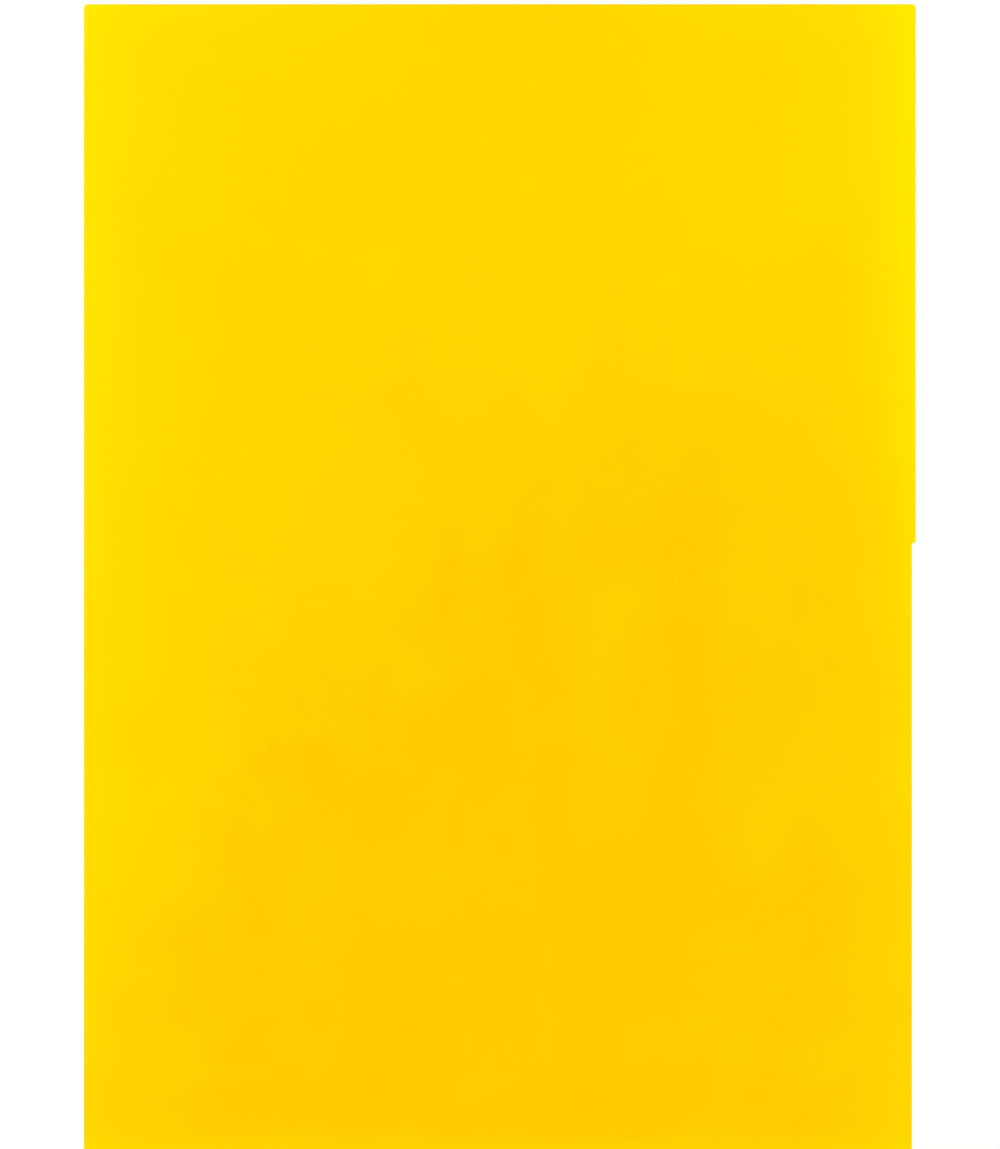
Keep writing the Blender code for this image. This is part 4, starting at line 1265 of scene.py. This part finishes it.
# %% Sleeves, buttons and hairpin springs
BUTTON_TIP = TUBE + 0.003
STRIP, STRIP_WIDTH = 0.0006, 0.007
for side_name, side in SIDES.items():
    x = side * UPRIGHT_X
    node = f"{side_name}_joint_sleeve"
    low, high = (corner.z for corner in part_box(node))
    sleeve = shifted(round_tube(SPIGOT, 0.0015, low, high), at(x, 0, 0))
    sleeve = drilled(sleeve, BUTTON_RADIUS + GAP, rear_hole(x, button_z))
    settle(f"{node}_tube", sleeve, zinc, "screen", "zinc_plate", [node])

    node = f"{side_name}_snap_button"
    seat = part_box(node)[0].y
    flange = extent(node).x / 2
    button = turned(eased([
        (0, BUTTON_TIP), (0.6 * BUTTON_RADIUS, BUTTON_TIP - 0.00045, 0.0008),
        (BUTTON_RADIUS, BUTTON_TIP - 0.0026, 0.001), (BUTTON_RADIUS, seat + 0.001),
        (flange, seat + 0.001, 0.0002), (flange, seat, 0.0002), (0, seat),
    ]), 48)
    button = shifted(button, facing((0, 1, 0)), at(x, 0, button_z))
    settle(f"{node}_dome", button, zinc, f"{side_name}_button", "zinc_plate", [node])

    node = f"{side_name}_button_spring"
    low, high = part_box(node)
    near, far, top_z = high.y - STRIP / 2, low.y + STRIP / 2, high.z
    radius = (near - far) / 2
    bend = arc(((near + far) / 2, low.z + radius + STRIP / 2), radius, 0, -180, 24)
    path = [(near, top_z), (near, (top_z + bend[0][1]) / 2), *bend, (far, (top_z + bend[0][1]) / 2),
        (far, top_z)]
    half = STRIP_WIDTH / 2
    rows = [[(x + across, y, z) for across in (-half, -half * 0.5, 0, half * 0.5, half)] for y,
        z in path]
    leaf = settle(f"{node}_leaf", swept_sheet(rows, STRIP), spring_blue, "screen", "spring_steel",
        [node])
    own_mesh(leaf)
print("corners and joints done")

# %% [markdown]
# ## Feet
# Each foot is a square tube that runs front to back, with a socket for its upright welded on top
# and a threaded boss on the socket for the clamp knob. The welds are what makes it look made:
# a bead of overlapping ripples runs round each joint, set there by the ring tree. Moulded caps
# close the tube's ends.

# %% Foot measures
foot_low, foot_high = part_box("left_foot")
FOOT_HALF = extent("left_foot").x / 2
FOOT_LENGTH = foot_high.y
FOOT_LOW = foot_low.z
FOOT_TOP = FOOT_LOW + 2 * FOOT_HALF
SOCKET_TOP = foot_high.z
SOCKET_BORE = TUBE + 0.0005
SOCKET_RADIUS = SOCKET_BORE + 0.002
BOSS_END = SOCKET_RADIUS + 0.009
KNOB_Z = middle("left_clamp_knob").z
CASTOR_Y = middle("left_rear_castor_stem").y
STEM_RADIUS, STUD_RADIUS = 0.005, 0.004
print(f"feet {2000 * FOOT_LENGTH:.0f} mm long, castors at {1000 * CASTOR_Y:.0f} mm")


# %% Foot tubes with sockets
ALONG_Y = Matrix.Rotation(math.radians(-90), 4, "X")  # Z becomes Y


def foot_weldment():
    """The foot at X = 0: tube, socket and boss as one body, bored and drilled."""
    centre = FOOT_LOW + FOOT_HALF
    rim = 0.0004
    outer = [
        (rounded_square(FOOT_HALF - inset_by, 0.003, 6), y)
        for inset_by,
        y in ((rim, -FOOT_LENGTH), (0, -FOOT_LENGTH + rim), (0, FOOT_LENGTH - rim),
            (rim, FOOT_LENGTH))
    ]
    inner = rounded_square(FOOT_HALF - 0.002, 0.0012, 4)
    body = shifted(lofted(outer), ALONG_Y, at(0, 0, centre))
    bore = shifted(lofted([(inner, -1), (inner, 1)]), ALONG_Y, at(0, 0, centre))
    socket = rod(SOCKET_RADIUS, (0, 0, FOOT_TOP - 0.001), (0, 0, SOCKET_TOP), 80, rim=0.0006)
    boss = rod(0.008, (0, SOCKET_BORE + 0.001, KNOB_Z), (0, BOSS_END, KNOB_Z), 48, rim=0.0006)
    body = boolean(body, [socket, boss], "UNION")
    well = rod(SOCKET_BORE, (0, 0, FOOT_TOP), (0, 0, SOCKET_TOP + 0.01), 80)
    stud = rod(STUD_RADIUS + GAP, (0, 0, KNOB_Z), (0, BOSS_END + 0.01, KNOB_Z), 32)
    body = boolean(body, [bore, well, stud], "DIFFERENCE")
    stems = [
        ((0, end * CASTOR_Y, FOOT_LOW - 0.01), (0, end * CASTOR_Y, FOOT_TOP + 0.01)) for end in (-1,
            1)
    ]
    return drilled(body, STEM_RADIUS + GAP, *stems)


def ripple(width, pitch, height):
    """One ripple of a weld bead, on the X axis side of a ring: wide across it, short along it."""
    profile = arc((0, 0), 1, 90, -90, 7)
    profile = [(0.0, 1.0), *profile[1:-1], (0.0, -1.0)]
    return shifted(turned(profile, 12), Matrix.Diagonal((width / 2, pitch * 0.9, height, 1)))


def bead(radius, width, height, first, sweep, pitch=0.0013, seed=3):
    """A weld bead round an arc in the XY plane, its angles in degrees."""
    count = int(math.radians(sweep) * radius / pitch)
    step = math.radians(sweep) / count
    shape = shifted(ripple(width, pitch, height), at(radius, 0, 0))
    return repeated(
        "ring", shape, grey_paint, Count=count + (0 if sweep >= 360 else 1),
        First=math.radians(first), Step=step, Variation=0.0, Seed=seed,
    )


foot_body = foot_weldment()
front_and_back = [bead(SOCKET_RADIUS + 0.0002, 0.0042, 0.0016, first, 98, seed=5) for first in (41,
    221)]
socket_bead = shifted(merged(*front_and_back), at(0, 0, FOOT_TOP + 0.0002))
boss_bead = shifted(bead(0.0081, 0.0030, 0.0015, 0, 360, pitch=0.0011), ALONG_Y,
    at(0, SOCKET_RADIUS - 0.0012, KNOB_Z))
beads = merged(socket_bead, boss_bead)
for side_name, side in SIDES.items():
    x = side * UPRIGHT_X
    settle(f"{side_name}_foot_weldment", shifted(foot_body, at(x, 0, 0)), grey_paint, "screen",
        "frame_paint", [f"{side_name}_foot"])
    settle(f"{side_name}_foot_welds", shifted(beads, at(x, 0, 0)), grey_paint, "screen",
        "frame_paint", smooth=60)
print("weld ripples per foot", len(beads.vertices) // len(ripple(1, 1, 1).vertices))


# %% Foot caps
def cap_mesh():
    """A cap with its foot's end at Y = 0. The plug points to -Y and its face is slightly domed."""
    plug = FOOT_HALF - 0.002 - GAP
    depth, head = 0.018, 0.003
    levels = [
        (plug - 0.0012, -depth), (plug, -depth + 0.0014), (plug, GAP), (FOOT_HALF - 0.0003, GAP),
        (FOOT_HALF, GAP + 0.0003), (FOOT_HALF, GAP + head - 0.0016),
        (FOOT_HALF - 0.0004, GAP + head - 0.0008),
        (FOOT_HALF - 0.0013, GAP + head - 0.0003), (FOOT_HALF - 0.004, GAP + head),
    ]
    sections = []
    for half, y in levels:
        radius = min(0.003, half * 0.8) if half > plug else min(0.0014, half * 0.8)
        sections.append((rounded_square(half, radius, 6), y))
    return shifted(lofted(sections), ALONG_Y)


cap = cap_mesh()
for side_name, side in SIDES.items():
    for end_name, end in ENDS.items():
        turn = Matrix.Rotation(0 if end > 0 else math.pi, 4, "Z")
        seat = at(side * UPRIGHT_X, end * FOOT_LENGTH, FOOT_LOW + FOOT_HALF)
        node = f"{side_name}_{end_name}_foot_cap"
        settle(f"{node}_moulding", shifted(cap, turn, seat), nylon, "screen", "black_nylon", [node])


print("foot caps", sum("foot_cap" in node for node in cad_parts))

# %% [markdown]
# ## Clamp knobs
# The knobs are lobed so that gloved hands can turn them. A moulded knob has rounded lobes, a
# shallow dish with a round plug over the stud's head, and no sharp edge anywhere. The loft goes
# from the seat up the lobes, over the crown and into the dish, and the lobes fade as it goes in.


# %% Knob
def lobed(radius, depth, sides=96, lobes=6):
    return [
        (
            (radius - depth / 2 + depth / 2 * math.cos(lobes * angle)) * math.cos(angle),
            (radius - depth / 2 + depth / 2 * math.cos(lobes * angle)) * math.sin(angle),
        )
        for angle in (2 * math.pi * step / sides for step in range(sides))
    ]


def knob_mesh():
    """The knob and stud along Z, measured from the upright's axis."""
    radius = extent("left_clamp_knob").z / 2
    top_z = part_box("left_clamp_knob")[1].y
    seat = BOSS_END + GAP
    lobe = 0.0030
    levels = [
        (radius - 0.0075, 0.0, seat), (radius - 0.0062, 0.0004, seat + 0.0002),
        (radius - 0.0028, 0.0022, seat + 0.0022), (radius - 0.0008, lobe, seat + 0.0046),
        (radius, lobe, seat + 0.0068), (radius, lobe, top_z - 0.0040),
        (radius - 0.0005, lobe, top_z - 0.0022),
        (radius - 0.0016, 0.0026, top_z - 0.0009), (radius - 0.0032, 0.0020, top_z - 0.0001),
        (radius - 0.0048, 0.0012, top_z), (radius - 0.0064, 0.0003, top_z - 0.0004),
        (radius - 0.0072, 0.0, top_z - 0.0012), (radius - 0.0078, 0.0, top_z - 0.0014),
        (radius - 0.0080, 0.0, top_z - 0.0009), (radius - 0.0092, 0.0, top_z - 0.0006),
        (0.0006, 0.0, top_z - 0.0004),
    ]
    head = lofted([(lobed(r, depth), z) for r, depth, z in levels])
    start = TUBE + GAP
    thread = [(STUD_RADIUS, seat + 0.002)]
    pitch = 0.00125
    z = seat - 0.0002
    while z > start + 0.0015:
        thread += [(STUD_RADIUS, z), (STUD_RADIUS * 0.86, z - pitch / 2)]
        z -= pitch
    stud = turned([(0, seat + 0.002), *thread, (STUD_RADIUS * 0.8, start), (0, start)], 40)
    return head, stud


knob_head, knob_stud = knob_mesh()
for side_name, side in SIDES.items():
    place = facing((0, 1, 0)), at(side * UPRIGHT_X, 0, KNOB_Z)
    node = f"{side_name}_clamp_knob"
    settle(f"{node}_head", shifted(knob_head, *place), nylon, f"{side_name}_knob", "black_nylon",
        [node], smooth=50)
    settle(f"{side_name}_knob_stud", shifted(knob_stud, *place), zinc, f"{side_name}_knob",
        "zinc_plate")

# %% [markdown]
# ## Castors
# A swivel castor is a stack: a threaded stem that the foot's nut holds, a bearing cup, and a
# pressed fork riveted under it that trails behind the swivel axis. The fork is one piece of
# folded sheet, so its bends are rounded. Each wheel is a ribbed nylon centre with a rubber
# tread. The two front castors carry a brake pedal that rocks a shoe down on the tread.
# Each mesh is made once from its swivel axis, and then placed at the four corners.

# %% Castor measures
WHEEL = extent("left_front_castor_wheel").z / 2
TREAD_HALF = 0.009
FORK_IN, FORK_OUT = 0.0105, 0.0125
fork_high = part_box("left_rear_castor_fork")[1]
PLATE_LOW, PLATE_TOP = fork_high.z - 0.002, fork_high.z
TRAIL = middle("left_rear_castor_wheel").x + UPRIGHT_X
NOSE = fork_high.x + UPRIGHT_X
CUP = extent("left_rear_castor_stem").x / 2
PIVOT = (TRAIL + 0.008, PLATE_LOW - 0.006)  # of the pedal, in X and Z
PIN_RADIUS = 0.002
print(f"wheel radius {1000 * WHEEL:.1f} mm, trail {1000 * TRAIL:.1f} mm")
print(f"nose at {1000 * NOSE:.1f} mm")


# %% Stem with its bearing cup, and nut
def stem_mesh():
    top_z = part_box("left_rear_castor_stem")[1].z
    cup_top = FOOT_LOW - GAP
    cup_low = PLATE_TOP + GAP
    pin = 0.004
    thread = []
    z = top_z - 0.0012
    while z > cup_top + 0.004:
        thread += [(STEM_RADIUS, z), (STEM_RADIUS * 0.86, z - 0.00075)]
        z -= 0.0015
    rivet_top, rivet_low = PLATE_LOW - GAP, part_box("left_rear_castor_stem")[0].z
    return turned(
        eased(
            [
                (0, top_z), (STEM_RADIUS * 0.8, top_z), *thread, (STEM_RADIUS, cup_top + 0.003),
                (STEM_RADIUS, cup_top, 0.0004), (0.62 * CUP, cup_top, 0.001),
                (0.72 * CUP, cup_top - 0.0011, 0.001),
                (0.92 * CUP, cup_top - 0.0013, 0.0012), (0.975 * CUP, cup_top - 0.0035, 0.001),
                (CUP, cup_low + 0.0011, 0.0005), (CUP, cup_low, 0.0004),
                (CUP - 0.0008, cup_low, 0.0002),
                (pin, cup_low), (pin, rivet_top), (1.75 * pin, rivet_top, 0.0002),
                (1.6 * pin, rivet_low + 0.0009, 0.001), (1.0 * pin, rivet_low, 0.001),
                (0, rivet_low),
            ],
        ),
        64,
    )


def nut_mesh():
    low, high = (corner.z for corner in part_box("left_rear_castor_nut"))
    hexagon = arc((0, 0), 0.0085 / math.cos(math.pi / 6), 0, 300, 5)
    bore = [((0, 0, low - 0.001), (0, 0, high + 0.001))]
    return drilled(pressed(hexagon, low, high, rim=0.0005), STEM_RADIUS + GAP, *bore)


# %% Pressed fork
def fork_mesh(braked):
    """The fork from its swivel axis: a folded channel cut to its side outline, with a round top."""
    section = eased(
        [
            (FORK_OUT, 0), (FORK_OUT, PLATE_TOP, 0.0024), (-FORK_OUT, PLATE_TOP, 0.0024),
            (-FORK_OUT, 0),
            (-FORK_IN, 0), (-FORK_IN, PLATE_LOW, 0.0011), (FORK_IN, PLATE_LOW, 0.0011),
            (FORK_IN, 0),
        ],
        closed=True,
        steps=6,
    )
    channel = shifted(lofted([(section, -0.03), (section, NOSE)]), UP_TO_X)
    rear = -0.012
    round_axle = arc((TRAIL, WHEEL), 0.008, 180, 360, 28)
    outline = eased(
        [
            (rear, PLATE_TOP + 0.002), (rear, PLATE_TOP - 0.0075, 0.002), *round_axle,
            (NOSE, 2 * WHEEL, 0.003), (NOSE, PLATE_TOP + 0.002),
        ],
        closed=True,
        steps=6,
    )
    side_cut = shifted(lofted([(outline, -0.03), (outline, 0.03)]), ON_EDGE)
    fork = boolean(channel, [side_cut], "INTERSECT")
    disc = turned(eased([(0, PLATE_TOP), (CUP, PLATE_TOP, 0.0005), (CUP, PLATE_LOW, 0.0005),
        (0, PLATE_LOW)]), 80)
    fork = boolean(fork, [disc], "UNION")
    fork = drilled(
        fork, 0.004 + GAP, ((0, 0, PLATE_LOW - 0.002), (0, 0, PLATE_TOP + 0.002))
    )
    fork = drilled(fork, 0.003 + GAP, ((TRAIL, -0.02, WHEEL), (TRAIL, 0.02, WHEEL)))
    if braked:
        x, z = PIVOT
        fork = drilled(fork, PIN_RADIUS + GAP, ((x, -0.02, z), (x, 0.02, z)))
    return fork


# %% Wheel and axle
def tread_mesh():
    half = TREAD_HALF
    crown = WHEEL / math.cos(math.pi / 96)
    return turned(
        eased(
            [
                (crown, half * 0.62), (crown - 0.0012, half * 0.9, 0.0012),
                (crown - 0.0026, half, 0.0008),
                (0.80 * WHEEL, half, 0.0006), (0.785 * WHEEL, half - 0.0008),
                (0.785 * WHEEL, -half + 0.0008),
                (0.80 * WHEEL, -half, 0.0006), (crown - 0.0026, -half, 0.0008),
                (crown - 0.0012, -half * 0.9, 0.0012),
                (crown, -half * 0.62), (crown, 0),
            ],
            closed=True,
        ),
        96,
    )


def hub_mesh():
    rim, bore, boss, face = 0.785 * WHEEL, 0.003 + GAP, 0.0070, FORK_IN - GAP
    half = TREAD_HALF - 0.0009
    upper = [
        (rim, half, 0.0003), (rim - 0.0016, half, 0.0005), (rim - 0.0019, 0.0022, 0.0010),
        (boss + 0.0006, 0.0022, 0.0010), (boss, face, 0.0006), (bore, face, 0.0003),
    ]
    lower = [(r, -z, e) for r, z, e in reversed(upper)]
    centre = turned(eased([*upper, *lower], closed=True, steps=4), 96)
    length = rim - 0.0017 - (boss - 0.0002)
    outline = eased([
        (length / 2, 0.0006, 0.0003), (-length / 2, 0.0006, 0.0003),
        (-length / 2, -0.0006, 0.0003), (length / 2, -0.0006, 0.0003),
    ], closed=True, steps=3)
    web = pressed(outline, -0.0055, 0.0055, rim=0.0003)
    web = shifted(web, at(boss - 0.0002 + length / 2, 0, 0))
    ribs = repeated("ring", web, nylon, Count=8, First=0.0, Step=math.pi / 4, Variation=0.0, Seed=1)
    return merged(centre, ribs)


def axle_mesh():
    seat = FORK_OUT + GAP
    upper = [
        (0, seat + 0.0018), (0.0030, seat + 0.00175, 0.0006), (0.0047, seat + 0.0012, 0.0007),
        (0.0054, seat + 0.0003, 0.0004), (0.0054, seat), (0.003, seat),
    ]
    lower = [(point[0], -point[1], *point[2:]) for point in reversed(upper)]
    return shifted(turned(eased([*upper, *lower]), 48), ON_EDGE)


# %% Brake pedal
def pedal_mesh():
    """The pedal about its pin, which lies along Y: shoe, neck, ribbed pad and pin."""
    axle_x, axle_z = TRAIL - PIVOT[0], WHEEL - PIVOT[1]
    thick = 0.0033
    shoe = arc((axle_x, axle_z), WHEEL + 0.004, 75, 50, 16)
    heel_x, heel_z = shoe[-1]
    pad_x, pad_top = heel_x + 0.004, heel_z + 0.0036
    outline = eased(
        [
            (-thick, -thick, 0.0009), *shoe, (pad_x, heel_z), (pad_x + 0.008, heel_z + GAP),
            (pad_x + 0.008, pad_top - GAP), (pad_x, pad_top, 0.002), (1.5 * thick, thick, 0.003),
            (-thick, thick, 0.0016),
        ],
        closed=True,
    )
    outline = list(reversed(outline))
    area = sum(a[0] * b[1] - b[0] * a[1] for a, b in zip(outline, outline[1:] + outline[:1]))
    if area < 0:
        outline.reverse()
    lever = shifted(pressed(outline, -0.008, 0.008, rim=0.0003), ON_EDGE)
    half_x, half_y, corner = 0.008, 0.012, 0.003
    pad_outline = eased(
        [(half_x, half_y, corner), (-half_x, half_y, corner), (-half_x, -half_y, corner),
            (half_x, -half_y, corner)],
        closed=True, steps=6,
    )
    low, high = heel_z + GAP / 2, pad_top - GAP / 2
    pad = shifted(pressed(pad_outline, low, high, rim=0.0009), at(pad_x + half_x, 0, 0))
    body = boolean(lever, [pad], "UNION")
    pin = rod(PIN_RADIUS, (0, -FORK_OUT + GAP, 0), (0, FORK_OUT - GAP, 0), 32, rim=0.0003)
    body = boolean(body, [pin], "UNION")
    grip = shifted(pressed(eased([
        (0.0006, 0.009, 0.0005), (-0.0006, 0.009, 0.0005), (-0.0006, -0.009, 0.0005),
        (0.0006, -0.009, 0.0005),
    ], closed=True, steps=3), 0, 0.0008, rim=0.0003), at(0, 0, high - 0.0002))
    grips = repeated(
        "row", grip, nylon, Count=5, Start=(pad_x + half_x - 0.0044, 0, 0), Offset=(0.0022, 0, 0),
        Variation=0.0, Seed=1,
    )
    return merged(body, grips)


# %% Castors at their corners
to_axle = at(TRAIL, 0, WHEEL)
flat_down = Matrix.Rotation(math.pi / 96, 4, "Z")
castor_pieces = {
    "castor_stem": (stem_mesh(), zinc, "screen", "zinc_plate", "castor_stem"),
    "castor_nut": (nut_mesh(), zinc, "screen", "zinc_plate", "castor_nut"),
    "castor_tread": (shifted(tread_mesh(), flat_down, ON_EDGE, to_axle), tread, "wheel",
        "grey_tread", "castor_wheel"),
    "castor_hub": (shifted(hub_mesh(), ON_EDGE, to_axle), nylon, "wheel", "black_nylon", None),
    "castor_axle": (shifted(axle_mesh(), to_axle), zinc, "fork", "zinc_plate", "castor_axle"),
}
forks = {"front": fork_mesh(braked=True), "rear": fork_mesh(braked=False)}
pedal = shifted(pedal_mesh(), at(PIVOT[0], 0, PIVOT[1]))
for end_name, end in ENDS.items():
    for side_name, side in SIDES.items():
        corner = f"{side_name}_{end_name}"
        spot = Matrix.Rotation(math.pi if side > 0 else 0, 4, "Z"), at(side * UPRIGHT_X,
            end * CASTOR_Y, 0)
        pieces = dict(castor_pieces)
        pieces["castor_fork"] = (forks[end_name], zinc, "fork", "zinc_plate", "castor_fork")
        if end_name == "front":
            pieces["brake_pedal"] = (pedal, nylon, "pedal", "black_nylon", "brake_pedal")
        for piece_name, (mesh, material, body, slot, node) in pieces.items():
            body_name = body if body == "screen" else f"{corner}_{body}"
            stands_for = [f"{corner}_{node}"] if node else []
            settle(f"{corner}_{piece_name}_piece", shifted(mesh, *spot), material, body_name, slot,
                stands_for, smooth=35)
shown = [o for o in bpy.data.objects if o.type == "MESH" and not o.hide_render]
print("pieces shown", len(shown), "triangles",
    sum(len(f.vertices) - 2 for o in shown for f in o.data.polygons))
